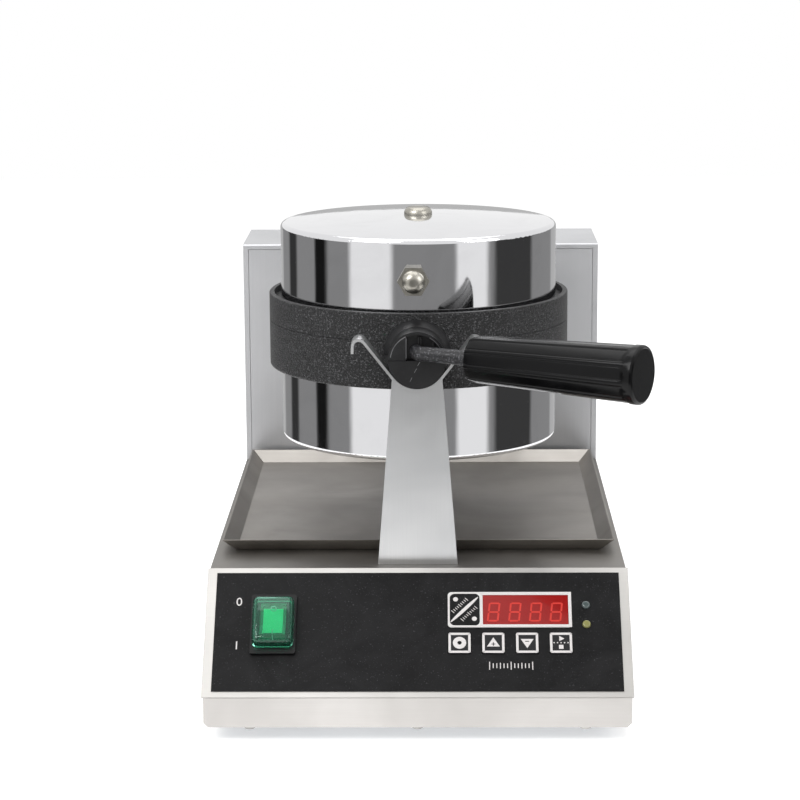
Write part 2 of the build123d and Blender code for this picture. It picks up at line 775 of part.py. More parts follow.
# Mould castings. Each half is a dish with a rim at the parting and a thin skirt behind its web,
# a grid of pegs let into it, half of the front trunnion, and its share of the hinge at the back.
web = 3.0
grid_disc = 2.0
lower_floor = -7.0
upper_ceiling = 17.5
rim_round = 2.0
peg_base = 10.0
peg_height = 9.0
peg_pitch = 17.0
peg_taper = 8.0
peg_edge_gap = 2.0
trunnion_stand = 3.0
neck_flare = 3.5
neck_flare_length = 7.0
neck_depth = 3.0
recess_depth = 5.0
recess_edge = -7.4
rim_width = 2.0
rod_radius = 5.0
rod_seat = 14.0
boss_radius = 15.0
boss_gap = 3.0
block_half = 15.0
hinge_gap = 20.0
hinge_rise = 25.0
lug_radius = 9.0
lug_inner = 11.5
lug_thickness = 8.0
lug_gap = 0.3
hinge_pin_radius = 4.0
upper_seat = parting + plate_gap
lower_back = lower_floor - grid_disc - web
upper_back = upper_ceiling + grid_disc + web
trunnion_front_y = arm_front_y - trunnion_stand
ring_front_y = mould_y - ring_radius
neck_root_y = ring_front_y + neck_depth
skirt_radius = ring_radius - skirt
rod_rise = rod_radius + seam
boss_start = ring_radius + boss_gap
hinge_back = ring_radius + hinge_gap
boss_end = hinge_back + lug_radius
hinge_y = mould_y + hinge_back
hinge_z = axis_z + hinge_rise


def peg_places():
    """Middles of the pegs that fit inside the round cavity."""
    steps = int(cavity_radius / peg_pitch) + 1
    reach = cavity_radius - peg_edge_gap
    found = []
    for column in range(-steps, steps):
        for row in range(-steps, steps):
            x = (column + 0.5) * peg_pitch
            y = (row + 0.5) * peg_pitch
            if hypot(abs(x) + peg_base / 2, abs(y) + peg_base / 2) < reach:
                found.append((x, y))
    return found


def half_neck(cut_low):
    """The flared front trunnion, without the part from this height over the axis up to one span above."""
    with BuildPart() as neck:
        with BuildSketch(facing(neck_root_y)):
            Circle(trunnion_radius)
        extrude(amount=neck_root_y - trunnion_front_y)
        with BuildSketch(facing(neck_root_y)):
            Circle(trunnion_radius + neck_flare)
        extrude(amount=neck_depth)
        with BuildSketch(facing(ring_front_y)):
            Circle(trunnion_radius + neck_flare)
        with BuildSketch(facing(ring_front_y - neck_flare_length)):
            Circle(trunnion_radius)
        loft()
        with BuildSketch(facing(neck_root_y)):
            with Locations((0, cut_low + ring_radius / 2)):
                Rectangle(ring_radius, ring_radius)
        extrude(amount=neck_root_y - trunnion_front_y, mode=Mode.SUBTRACT)
        with BuildSketch(level(ring_bottom)):
            Circle(ring_radius)
        extrude(amount=ring_top - ring_bottom, mode=Mode.SUBTRACT)
    return neck.part


with BuildPart() as lower_trunnion:
    add(half_neck(-plate_gap))
save(lower_trunnion, "lower_trunnion")

with BuildPart() as upper_trunnion:
    add(half_neck(-ring_radius))
    with BuildSketch(level(0)):
        Circle(ring_radius + plate_gap)
    extrude(amount=upper_seat, mode=Mode.SUBTRACT)
    with BuildSketch(facing(trunnion_front_y)):
        with BuildLine():
            inner_round = trunnion_radius - rim_width
            recess_rise = sqrt(inner_round**2 - recess_edge**2)
            Line((recess_edge, 0), (inner_round, 0))
            RadiusArc((inner_round, 0), (recess_edge, recess_rise), -inner_round)
            Line((recess_edge, recess_rise), (recess_edge, 0))
        make_face()
    extrude(amount=-recess_depth, mode=Mode.SUBTRACT)
    with BuildSketch(facing(trunnion_front_y + recess_depth)):
        with Locations((0, rod_rise)):
            Circle(rod_radius + push_fit)
    extrude(amount=-rod_seat, mode=Mode.SUBTRACT)
save(upper_trunnion, "upper_trunnion")

with BuildPart() as lower_plate:
    with BuildSketch(level(ring_bottom)):
        Circle(ring_radius)
    extrude(amount=parting - ring_bottom)
    fillet(lower_plate.faces().sort_by(Axis.Z)[0].edges(), rim_round)
    with BuildSketch(level(ring_bottom)):
        Circle(skirt_radius)
    extrude(amount=lower_back - ring_bottom, mode=Mode.SUBTRACT)
    with BuildSketch(level(lower_back + web)):
        Circle(cavity_radius)
    extrude(amount=parting - lower_back, mode=Mode.SUBTRACT)
save(lower_plate, "lower_plate")

with BuildPart() as upper_plate:
    with BuildSketch(level(upper_seat)):
        Circle(ring_radius)
    extrude(amount=ring_top - upper_seat)
    fillet(upper_plate.faces().sort_by(Axis.Z)[-1].edges(), rim_round / 2)
    with BuildSketch(level(upper_back)):
        Circle(skirt_radius)
    extrude(amount=ring_top, mode=Mode.SUBTRACT)
    with BuildSketch(level(upper_seat)):
        Circle(cavity_radius)
    extrude(amount=upper_back - web - upper_seat, mode=Mode.SUBTRACT)
save(upper_plate, "upper_plate")

with BuildPart() as lower_hinge:
    with BuildSketch(facing(mould_y + boss_end)):
        with Locations((0, (parting + ring_bottom) / 2)):
            Rectangle(2 * block_half, parting - ring_bottom - 2 * rim_round)
    extrude(amount=boss_end - skirt_radius)
    with BuildSketch(facing(mould_y + boss_end)):
        Circle(boss_radius)
    extrude(amount=boss_end - boss_start)
    for lug_x in (-lug_inner - lug_thickness, lug_inner):
        with BuildSketch(sideways(lug_x)):
            with Locations((hinge_y, hinge_z)):
                Circle(lug_radius)
            with Locations((hinge_y, (hinge_z + axis_z + ring_bottom + rim_round) / 2)):
                Rectangle(2 * lug_radius, hinge_z - axis_z - ring_bottom - rim_round)
            with Locations((hinge_y, hinge_z)):
                Circle(hinge_pin_radius + push_fit, mode=Mode.SUBTRACT)
        extrude(amount=lug_thickness)
    with BuildSketch(level(ring_bottom)):
        Circle(ring_radius)
    extrude(amount=parting - ring_bottom, mode=Mode.SUBTRACT)
    with BuildSketch(facing(mould_y + boss_end)):
        Circle(shaft_radius + running_fit)
    extrude(amount=boss_end - boss_start - seam, mode=Mode.SUBTRACT)
save(lower_hinge, "lower_hinge")

with BuildPart() as upper_hinge:
    with BuildSketch(sideways(-lug_inner + lug_gap)):
        with Locations((hinge_y, hinge_z)):
            Circle(lug_radius)
        with Locations(((hinge_y + mould_y + skirt_radius + seam) / 2, hinge_z)):
            Rectangle(hinge_y - mould_y - skirt_radius - seam, 2 * lug_radius)
        with Locations((hinge_y, hinge_z)):
            Circle(hinge_pin_radius + running_fit, mode=Mode.SUBTRACT)
    extrude(amount=2 * (lug_inner - lug_gap))
    with BuildSketch(level(upper_seat)):
        Circle(ring_radius)
    extrude(amount=ring_top - upper_seat, mode=Mode.SUBTRACT)
save(upper_hinge, "upper_hinge")

# Hinge pin with a head at each end
pin_head = 1.5
pin_head_reach = 1.0
pin_head_radius = hinge_pin_radius + pin_head_reach
pin_half = lug_inner + lug_thickness

with BuildPart() as hinge_pin:
    with BuildSketch(sideways(-pin_half - pin_head)):
        with Locations((hinge_y, hinge_z)):
            Circle(pin_head_radius)
    extrude(amount=pin_head)
    with BuildSketch(sideways(pin_half)):
        with Locations((hinge_y, hinge_z)):
            Circle(pin_head_radius)
    extrude(amount=pin_head)
    with BuildSketch(sideways(-pin_half)):
        with Locations((hinge_y, hinge_z)):
            Circle(hinge_pin_radius)
    extrude(amount=2 * pin_half)
save(hinge_pin, "hinge_pin")

# Hollow shaft from the lower casting through the bearing, with the wires inside it
shaft_tail = 3.0
shaft_start_y = mould_y + boss_start + seam
shaft_end_y = collar_y + collar_length + shaft_tail

with BuildPart() as mould_shaft:
    with BuildSketch(facing(shaft_end_y)):
        Circle(shaft_radius)
        Circle(shaft_bore_radius, mode=Mode.SUBTRACT)
    extrude(amount=shaft_end_y - shaft_start_y)
save(mould_shaft, "mould_shaft")

# On each side of the web: the grid of pegs in the dish, and behind the web the heater, the
# insulation, and a polished cup over them that one long screw holds to the web
cup_sheet = 1.0
cup_round = 3.5
cup_crown = 5.0
heater_inset = 26.5
heater_tube = 4.0
heater_start_angle = -70.0
heater_sweep = 320.0
terminal_rise = 26.0
insulation_inset = 10.0
insulation_height = 15.0
insulation_gap = 1.0
cup_screw_radius = 4.0
cup_head_radius = 10.0
cup_head_rise = 5.4
cup_head_round = 4.8
slot_width = 2.2
slot_depth = 1.6
slot_length = 30.0
nut_x = -2.5
nut_rise = 48.5
stud_radius = 4.0
heater_circle = cavity_radius - heater_inset
insulation_radius = cup_radius - insulation_inset
crown_radius = (cup_radius**2 + cup_crown**2) / (2 * cup_crown)


def crowned_body(seat, top, inset):
    """A round body from the seat to a crowned end, drawn in by the inset all over but its seat."""
    away = 1 if top > seat else -1
    with BuildPart() as body:
        with BuildSketch(level(seat)):
            Circle(cup_radius - inset)
        extrude(amount=top - seat)
        with Locations((0, mould_y, axis_z + top - away * crown_radius)):
            Sphere(crown_radius - inset, mode=Mode.INTERSECT)
        crown = body.faces().sort_by(Axis.Z)[-1 if away > 0 else 0]
        fillet(crown.edges(), cup_round - inset)
    return body.part


for upper, side_name in ((True, "upper"), (False, "lower")):
    seat = upper_back if upper else lower_back
    grid_face = upper_ceiling if upper else lower_floor
    away = 1 if upper else -1
    cup_rise = upper_cup_rise if upper else lower_cup_rise
    cup_depth = cup_rise - away * seat
    cup_top = cup_rise + cup_crown
    with BuildPart() as grid:
        with BuildSketch(level(grid_face)):
            Circle(cavity_radius - seam)
        extrude(amount=away * grid_disc)
        with BuildSketch(level(grid_face)):
            with Locations(*peg_places()):
                Rectangle(peg_base, peg_base)
        extrude(amount=-away * peg_height, taper=peg_taper)
    save(grid, f"{side_name}_grid")

    with BuildPart() as cup:
        add(crowned_body(seat, away * cup_top, 0))
        add(crowned_body(seat, away * cup_top, cup_sheet), mode=Mode.SUBTRACT)
        with BuildSketch(level(seat)):
            Circle(cup_screw_radius + push_fit)
        extrude(amount=away * (cup_depth + cup_crown), mode=Mode.SUBTRACT)
        if upper:
            with BuildSketch(facing(mould_y, axis_z + nut_rise, nut_x)):
                Circle(stud_radius + push_fit)
            extrude(amount=cup_radius, mode=Mode.SUBTRACT)
    save(cup, f"{side_name}_cup")

    with BuildPart() as heater:
        heater_z = axis_z + seat + away * heater_tube
        with BuildLine() as heater_line:
            CenterArc((0, mould_y, heater_z), heater_circle, heater_start_angle, heater_sweep)
        heater_start = heater_line.line @ 0
        with BuildSketch(Plane(origin=heater_start, z_dir=heater_line.line % 0)):
            Circle(heater_tube)
        sweep()
        with BuildSketch(Plane.XY.offset(heater_z)):
            with Locations((heater_start.X, heater_start.Y)):
                Circle(heater_tube / 2)
        extrude(amount=away * terminal_rise)
    save(heater, f"{side_name}_heater")

    with BuildPart() as insulation:
        with BuildSketch(level(seat + away * (2 * heater_tube + insulation_gap / 2))):
            Circle(insulation_radius)
            Circle(cup_screw_radius + seam, mode=Mode.SUBTRACT)
            with Locations((heater_start.X, heater_start.Y - mould_y)):
                Circle(heater_tube, mode=Mode.SUBTRACT)
        extrude(amount=away * insulation_height)
    save(insulation, f"{side_name}_insulation")

    with BuildPart() as cup_screw:
        with BuildSketch(level(away * cup_top)):
            Circle(cup_head_radius)
        extrude(amount=away * cup_head_rise)
        head_end = cup_screw.faces().sort_by(Axis.Z)[-1 if upper else 0]
        fillet(head_end.edges(), cup_head_round)
        with BuildSketch(level(away * cup_top)):
            Circle(cup_screw_radius)
        extrude(amount=-away * (cup_depth + cup_crown))
        with BuildSketch(level(away * (cup_top + cup_head_rise))):
            Rectangle(slot_length, slot_width)
        extrude(amount=-away * slot_depth, mode=Mode.SUBTRACT)
    save(cup_screw, f"{side_name}_cup_screw")

# Bracket and stud inside the upper cup, and the domed nut outside it
bracket_half = 11.0
bracket_sheet = 3.0
bracket_top = 60.0
nut_across = 19.0
nut_height = 7.0
nut_dome_radius = 8.0
nut_total = 14.0
nut_dome_round = 6.3
bracket_y = mould_y - sqrt((cup_radius - cup_sheet) ** 2 - bracket_half**2) + seam
nut_y = mould_y - cup_radius - seam / 2

with BuildPart() as cup_bracket:
    with BuildSketch(facing(bracket_y + bracket_sheet, axis_z + upper_back)):
        with Locations((0, (bracket_top - upper_back) / 2)):
            Rectangle(2 * bracket_half, bracket_top - upper_back)
    extrude(amount=bracket_sheet)
    with BuildSketch(facing(bracket_y, axis_z + nut_rise, nut_x)):
        Circle(stud_radius)
    extrude(amount=bracket_y - nut_y + nut_height)
save(cup_bracket, "cup_bracket")

with BuildPart() as acorn_nut:
    with BuildSketch(facing(nut_y, axis_z + nut_rise, nut_x)):
        RegularPolygon(nut_across / 2, 6, major_radius=False)
    extrude(amount=nut_height)
    with BuildSketch(facing(nut_y - nut_height, axis_z + nut_rise, nut_x)):
        Circle(nut_dome_radius)
    extrude(amount=nut_total - nut_height)
    fillet(acorn_nut.faces().sort_by(Axis.Y)[0].edges(), nut_dome_round)
    with BuildSketch(facing(nut_y, axis_z + nut_rise, nut_x)):
        Circle(stud_radius + push_fit)
    extrude(amount=nut_height + seam, mode=Mode.SUBTRACT)
save(acorn_nut, "acorn_nut")

# Handle: a rod out of the recess, bent to the side and forwards, with a faceted grip
handle_turn = 28.5
elbow_stand = 2.0
elbow_round = 7.0
grip_start = 42.5
grip_length = 121.5
grip_start_radius = 15.9
grip_end_radius = 19.3
grip_flat_count = 9
grip_rim = 14.0
grip_edge = 2.0
tang_length = 60.0
handle_z = axis_z + rod_rise
elbow_y = trunnion_front_y - elbow_stand
rod_start_y = trunnion_front_y + recess_depth + rod_seat
along = Vector(cos(radians(handle_turn)), -sin(radians(handle_turn)), 0)
elbow = Vector(0, elbow_y, handle_z)
rod_end = elbow + along * (grip_start + tang_length)


def across_handle(distance):
    """A plane square to the grip, this far from the elbow."""
    return Plane(origin=elbow + along * distance, x_dir=(0, 0, 1), z_dir=along)


with BuildPart() as handle_rod:
    with BuildLine():
        FilletPolyline((0, rod_start_y, handle_z), tuple(elbow), tuple(rod_end), radius=elbow_round)
    with BuildSketch(facing(rod_start_y, handle_z)):
        Circle(rod_radius)
    sweep()
save(handle_rod, "handle_rod")

grip_end = grip_start + grip_length
facet_end = grip_end - grip_rim
facet_share = (grip_length - grip_rim) / grip_length
facet_end_radius = grip_start_radius + (grip_end_radius - grip_start_radius) * facet_share

with BuildPart() as handle_grip:
    with BuildSketch(across_handle(grip_start)):
        RegularPolygon(grip_start_radius, grip_flat_count)
    with BuildSketch(across_handle(facet_end)):
        RegularPolygon(facet_end_radius, grip_flat_count)
    loft()
    with BuildSketch(across_handle(facet_end)):
        Circle(facet_end_radius)
    with BuildSketch(across_handle(grip_end)):
        Circle(grip_end_radius)
    loft()
    cap_face = handle_grip.faces().sort_by_distance(elbow + along * grip_end)[0]
    fillet(cap_face.edges(), grip_edge)
    with BuildSketch(across_handle(grip_start)):
        Circle(rod_radius + push_fit)
    extrude(amount=tang_length + seam, mode=Mode.SUBTRACT)
save(handle_grip, "handle_grip")
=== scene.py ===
import math

import bpy
from mathutils import Matrix, Vector
from mathutils.bvhtree import BVHTree


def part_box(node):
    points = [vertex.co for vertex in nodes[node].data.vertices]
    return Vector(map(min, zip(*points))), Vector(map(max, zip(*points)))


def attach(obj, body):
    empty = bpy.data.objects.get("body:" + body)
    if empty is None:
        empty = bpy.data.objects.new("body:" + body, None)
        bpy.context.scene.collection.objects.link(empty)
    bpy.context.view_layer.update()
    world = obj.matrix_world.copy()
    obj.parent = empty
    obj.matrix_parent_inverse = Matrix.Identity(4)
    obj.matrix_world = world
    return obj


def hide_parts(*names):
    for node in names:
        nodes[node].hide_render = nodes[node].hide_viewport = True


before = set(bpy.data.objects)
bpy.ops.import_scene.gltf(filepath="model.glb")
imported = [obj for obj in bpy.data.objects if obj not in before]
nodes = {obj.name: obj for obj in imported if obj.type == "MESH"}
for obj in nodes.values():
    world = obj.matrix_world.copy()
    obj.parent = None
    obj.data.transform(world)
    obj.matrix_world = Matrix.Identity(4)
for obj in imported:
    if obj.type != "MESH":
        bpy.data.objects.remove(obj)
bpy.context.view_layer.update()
print("frame loaded:", len(nodes), "nodes")

# places read off the frame, in metres
axisAboveDeck = 0.141
shellLow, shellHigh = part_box("base_shell")
cupLow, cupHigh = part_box("upper_cup")
midX = (shellLow.x + shellHigh.x) / 2
mouldY = (cupLow.y + cupHigh.y) / 2
deckZ = shellHigh.z
axisZ = deckZ + axisAboveDeck
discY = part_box("lower_trunnion")[0].y

# the sloping panel: how far it runs back, how far it drops, and how thick the fascia is on it
panel = {"run": 0.070, "drop": 0.068, "face": 0.0018}
panelEdge = Vector((midX, shellLow.y + panel["run"], deckZ))
panelSlant = math.hypot(panel["run"], panel["drop"])
panelUp = Vector((0, panel["run"], panel["drop"])) / panelSlant
panelOut = Vector((0, -panel["drop"], panel["run"])) / panelSlant


def axesPlace(across, up, out, origin):
    # a place whose own x, y and z lie along the three axes
    matrix = Matrix((across, up, out)).transposed().to_4x4()
    matrix.translation = origin
    return matrix


def panelPlace(x, down, rise=0.0):
    # a place on the sloping face: x across, y up the slope, z out of the face
    origin = panelEdge + Vector((x, 0, 0)) - panelUp * down + panelOut * (panel["face"] + rise)
    return axesPlace(Vector((1, 0, 0)), panelUp, panelOut, origin)


def trunnionPlace(behind):
    # x across, y up, z toward the front; behind is the depth behind the trunnion's face
    return axesPlace(Vector((1, 0, 0)), Vector((0, 0, 1)), Vector((0, -1, 0)), Vector((midX, discY + behind, axisZ)))


def shift(x=0.0, y=0.0, z=0.0, turn=0.0):
    return Matrix.Translation((x, y, z)) @ Matrix.Rotation(math.radians(turn), 4, "Z")


camera = {
    "place": (midX + 0.0156, -1.8005, 0.5474), "down": 11.583, "turn": 0.947, "roll": -0.335,
    "lens": 112.5, "sensor": 36, "farthest": 60,
}


def addCamera():
    data = bpy.data.cameras.new("photoCamera")
    data.lens = camera["lens"]
    data.sensor_width = camera["sensor"]
    data.clip_end = camera["farthest"]
    eye = bpy.data.objects.new("photoCamera", data)
    bpy.context.scene.collection.objects.link(eye)
    turned = Matrix.Rotation(math.radians(camera["turn"]), 4, "Z")
    tilted = Matrix.Rotation(math.radians(90 - camera["down"]), 4, "X")
    rolled = Matrix.Rotation(math.radians(camera["roll"]), 4, "Z")
    eye.matrix_world = Matrix.Translation(camera["place"]) @ turned @ tilted @ rolled
    bpy.context.scene.camera = eye


addCamera()


# the finishes, each a material built from shader nodes

# most values of a noise lie within this span
noiseSpan = (0.3, 0.7)
finishes = {}


def tone(screen):
    # a colour as seen on screen, 0 to 255, turned into the renderer's linear numbers
    def straight(value):
        value = value / 255
        return value / 12.92 if value <= 0.04045 else ((value + 0.055) / 1.055) ** 2.4

    return tuple(straight(value) for value in screen) + (1.0,)


def feed(tree, value, socket):
    # a value is a socket to link from, or else a number or a tuple to set
    if isinstance(value, bpy.types.NodeSocket):
        tree.links.new(value, socket)
    else:
        socket.default_value = value


def addNoise(tree, place, scale=1.0, detail=2.0, roughness=0.5, distortion=0.0):
    noise = tree.nodes.new("ShaderNodeTexNoise")
    feed(tree, place, noise.inputs["Vector"])
    feed(tree, scale, noise.inputs["Scale"])
    feed(tree, detail, noise.inputs["Detail"])
    feed(tree, roughness, noise.inputs["Roughness"])
    feed(tree, distortion, noise.inputs["Distortion"])
    return noise.outputs["Fac"]


def addMath(tree, operation, first, second):
    node = tree.nodes.new("ShaderNodeMath")
    node.operation = operation
    feed(tree, first, node.inputs[0])
    feed(tree, second, node.inputs[1])
    return node.outputs[0]


def addRange(tree, source, span, reach=(0.0, 1.0)):
    # the source's values within the span, mapped onto the reach
    node = tree.nodes.new("ShaderNodeMapRange")
    titles = ("Value", "From Min", "From Max", "To Min", "To Max")
    for title, value in zip(titles, (source, *span, *reach)):
        feed(tree, value, node.inputs[title])
    return node.outputs["Result"]


def addMix(tree, factor, first, second):
    mix = tree.nodes.new("ShaderNodeMix")
    mix.data_type = "RGBA"
    feed(tree, factor, mix.inputs["Factor"])
    for title, value in (("A", first), ("B", second)):
        feed(tree, value, next(s for s in mix.inputs if s.name == title and s.type == "RGBA"))
    return next(s for s in mix.outputs if s.type == "RGBA")


def newGroup(name, inputs, outputs):
    # a shader group with its inputs, each with its kind, and outputs that are numbers
    group = bpy.data.node_groups.new(name, "ShaderNodeTree")
    for title, kind in inputs.items():
        group.interface.new_socket(title, in_out="INPUT", socket_type="NodeSocket" + kind)
    for title in outputs:
        group.interface.new_socket(title, in_out="OUTPUT", socket_type="NodeSocketFloat")
    given = group.nodes.new("NodeGroupInput").outputs
    result = group.nodes.new("NodeGroupOutput").inputs
    return group, given, result


def buildGrainGroup():
    # long brushed streaks along one direction, with slow cloudy patches over them
    inputs = {"Place": "Vector", "Stretch": "Vector", "Cloud": "Float"}
    group, given, result = newGroup("brushedGrain", inputs, ("Streak", "Patch"))
    stretch = group.nodes.new("ShaderNodeVectorMath")
    stretch.operation = "MULTIPLY"
    feed(group, given["Place"], stretch.inputs[0])
    feed(group, given["Stretch"], stretch.inputs[1])
    streak = addNoise(group, stretch.outputs[0], detail=4.0, roughness=0.6)
    patch = addNoise(group, given["Place"], given["Cloud"], detail=3.0, roughness=0.55, distortion=0.6)
    feed(group, streak, result["Streak"])
    feed(group, patch, result["Patch"])
    return group


def buildGritGroup():
    # fine raised grit with a few larger grains; the higher Rare is, the fewer they are
    group, given, result = newGroup("grit", {"Place": "Vector", "Size": "Float", "Rare": "Float"}, ("Grains", "Height"))
    grainEdge = 0.12
    cells = group.nodes.new("ShaderNodeTexVoronoi")
    feed(group, given["Place"], cells.inputs["Vector"])
    feed(group, given["Size"], cells.inputs["Scale"])
    fine = addNoise(group, given["Place"], given["Size"], detail=3.0, roughness=0.7)
    full = addMath(group, "ADD", given["Rare"], grainEdge)
    feed(group, addRange(group, fine, (given["Rare"], full)), result["Grains"])
    feed(group, addMath(group, "SUBTRACT", fine, cells.outputs["Distance"]), result["Height"])
    return group


def buildHandledGroup():
    # soft smears, as handling leaves them
    group, given, result = newGroup("handled", {"Place": "Vector", "Spread": "Float"}, ("Smear",))
    smear = addNoise(group, given["Place"], given["Spread"], detail=4.0, roughness=0.6, distortion=1.4)
    feed(group, smear, result["Smear"])
    return group


grainGroup = buildGrainGroup()
gritGroup = buildGritGroup()
handledGroup = buildHandledGroup()


def startFinish(name):
    finish = bpy.data.materials.new(name)
    finish.use_nodes = True
    finishes[name] = finish
    tree = finish.node_tree
    place = tree.nodes.new("ShaderNodeTexCoord").outputs["Object"]
    return tree, tree.nodes["Principled BSDF"], place


def addGroup(tree, group, place, **values):
    node = tree.nodes.new("ShaderNodeGroup")
    node.node_tree = group
    feed(tree, place, node.inputs["Place"])
    for title, value in values.items():
        feed(tree, value, node.inputs[title])
    return node.outputs


def addBump(tree, height, shader, strength, distance):
    bump = tree.nodes.new("ShaderNodeBump")
    feed(tree, strength, bump.inputs["Strength"])
    feed(tree, distance, bump.inputs["Distance"])
    feed(tree, height, bump.inputs["Height"])
    feed(tree, bump.outputs["Normal"], shader.inputs["Normal"])


def brushedMetal(name, light, dark, stretch, rough, bump=0.06, cloud=9.0, metallic=1.0, paintedUpShade=None):
    # the faces that look up can be given a painted shade: a darker colour standing in for the dark surroundings they
    # mirror
    patchSpan, streakShare, upShadeSpan, grainDepth = (0.32, 0.68), (0.0, 0.30), (0.85, 0.98), 0.0004
    tree, shader, place = startFinish(name)
    grain = addGroup(tree, grainGroup, place, Stretch=stretch, Cloud=cloud)
    smear = addGroup(tree, handledGroup, place, Spread=11.0)["Smear"]
    light, dark = tone(light), tone(dark)
    patch = addRange(tree, grain["Patch"], patchSpan)
    streak = addRange(tree, grain["Streak"], noiseSpan, streakShare)
    colour = addMix(tree, streak, addMix(tree, patch, light, dark), dark)
    if paintedUpShade:
        # painted shade: the faces that look up are blended toward a darker colour by how far their normal points up
        facing = tree.nodes.new("ShaderNodeSeparateXYZ")
        feed(tree, tree.nodes.new("ShaderNodeNewGeometry").outputs["Normal"], facing.inputs[0])
        colour = addMix(tree, addRange(tree, facing.outputs["Z"], upShadeSpan), colour, tone(paintedUpShade))
    feed(tree, colour, shader.inputs["Base Color"])
    feed(tree, metallic, shader.inputs["Metallic"])
    feed(tree, addRange(tree, smear, noiseSpan, rough), shader.inputs["Roughness"])
    addBump(tree, grain["Streak"], shader, bump, grainDepth)


def mouldedPlastic(
    name, colour, rough, grit, bump, grainTone=None, coat=0.0, specular=0.5, depth=0.0002, rare=0.60
):
    # without a tone of their own the grains are a little paler than the rest
    cloudSpan, cloudShare, palerTimes, palerBy = (0.35, 0.75), (0.0, 0.12), 1.5, 0.004
    tree, shader, place = startFinish(name)
    grains = addGroup(tree, gritGroup, place, Size=grit, Rare=rare)
    smear = addGroup(tree, handledGroup, place, Spread=22.0)["Smear"]
    colour = tone(colour)
    paler = tuple(min(1.0, c * palerTimes + palerBy) for c in colour[:3]) + (1.0,)
    if grainTone:
        paler = tone(grainTone)
    base = addMix(tree, addRange(tree, smear, cloudSpan, cloudShare), colour, paler)
    feed(tree, addMix(tree, grains["Grains"], base, paler), shader.inputs["Base Color"])
    feed(tree, addRange(tree, smear, noiseSpan, rough), shader.inputs["Roughness"])
    feed(tree, coat, shader.inputs["Coat Weight"])
    feed(tree, specular, shader.inputs["Specular IOR Level"])
    addBump(tree, grains["Height"], shader, bump, depth)


def clearSilicone(name, colour, cloudy, rough, through):
    cloudSpan, cloudShare, refraction = (0.4, 0.75), (0.0, 0.5), 1.41
    tree, shader, place = startFinish(name)
    smear = addGroup(tree, handledGroup, place, Spread=30.0)["Smear"]
    cloud = addRange(tree, smear, cloudSpan, cloudShare)
    feed(tree, addMix(tree, cloud, tone(colour), tone(cloudy)), shader.inputs["Base Color"])
    feed(tree, addRange(tree, smear, noiseSpan, rough), shader.inputs["Roughness"])
    feed(tree, through, shader.inputs["Transmission Weight"])
    feed(tree, refraction, shader.inputs["IOR"])


def polishedSteel(name, colour, rough, wobble):
    # wobble is how strongly the sheet's slow waves bend what it mirrors
    cloudSpan, cloudShare, roughSpan, dullerTimes, waveDepth = (0.45, 0.8), (0.0, 0.6), (0.35, 0.75), 0.86, 0.004
    tree, shader, place = startFinish(name)
    grain = addGroup(tree, grainGroup, place, Stretch=(26, 26, 5), Cloud=30.0)
    smear = addGroup(tree, handledGroup, place, Spread=16.0)["Smear"]
    colour = tone(colour)
    duller = tuple(c * dullerTimes for c in colour[:3]) + (1.0,)
    cloud = addRange(tree, smear, cloudSpan, cloudShare)
    feed(tree, addMix(tree, cloud, colour, duller), shader.inputs["Base Color"])
    feed(tree, 1.0, shader.inputs["Metallic"])
    feed(tree, addRange(tree, smear, roughSpan, rough), shader.inputs["Roughness"])
    addBump(tree, grain["Streak"], shader, wobble, waveDepth)


# sheet: name, lighter and darker tone, stretch of the grain, roughness
# the satin sheet's deck and other faces that look up carry a painted shade, standing in for the dark surroundings they
# mirror
brushedMetal("satinSheet", (206, 203, 200), (188, 185, 182), (18, 18, 1500), (0.36, 0.50), paintedUpShade=(146, 143, 139))
brushedMetal("frontSheet", (186, 184, 181), (172, 170, 167), (18, 18, 1500), (0.34, 0.46), bump=0.04)
brushedMetal(
    "columnSheet", (208, 208, 210), (188, 189, 191), (900, 900, 14), (0.34, 0.48), bump=0.05, cloud=7.0, metallic=0.75
)
brushedMetal("armSheet", (216, 216, 216), (194, 195, 196), (1300, 1300, 16), (0.30, 0.42), bump=0.10)
brushedMetal("traySheet", (172, 168, 163), (146, 142, 137), (16, 700, 700), (0.38, 0.52), bump=0.08, cloud=12.0)
brushedMetal("zincSheet", (178, 182, 186), (150, 155, 160), (60, 60, 60), (0.4, 0.6), bump=0.04, cloud=40.0)

# solid metal
brushedMetal("steelScrew", (196, 194, 190), (150, 148, 146), (900, 900, 900), (0.25, 0.4), bump=0.05, cloud=60.0)
brushedMetal("turnedSteel", (186, 187, 190), (150, 152, 156), (500, 60, 500), (0.22, 0.36))
brushedMetal("bronze", (184, 138, 84), (140, 98, 58), (400, 400, 400), (0.3, 0.5), cloud=60.0)
brushedMetal("heaterSteel", (120, 112, 104), (72, 66, 62), (300, 300, 300), (0.4, 0.6), cloud=50.0)
brushedMetal("iron", (92, 92, 96), (60, 60, 64), (40, 1800, 40), (0.4, 0.6), bump=0.2, cloud=60.0)
brushedMetal("nickel", (184, 181, 172), (146, 143, 135), (500, 500, 500), (0.26, 0.38), bump=0.03, cloud=60.0)
# a pale metal used for the painted highlights along the trunnion's edges and for the scratches worn into its coating
brushedMetal("paintedShineAndWear", (196, 196, 198), (132, 132, 134), (700, 700, 700), (0.3, 0.45), bump=0.05, cloud=60.0)
polishedSteel("polishedCup", (222, 222, 224), rough=(0.035, 0.09), wobble=0.035)

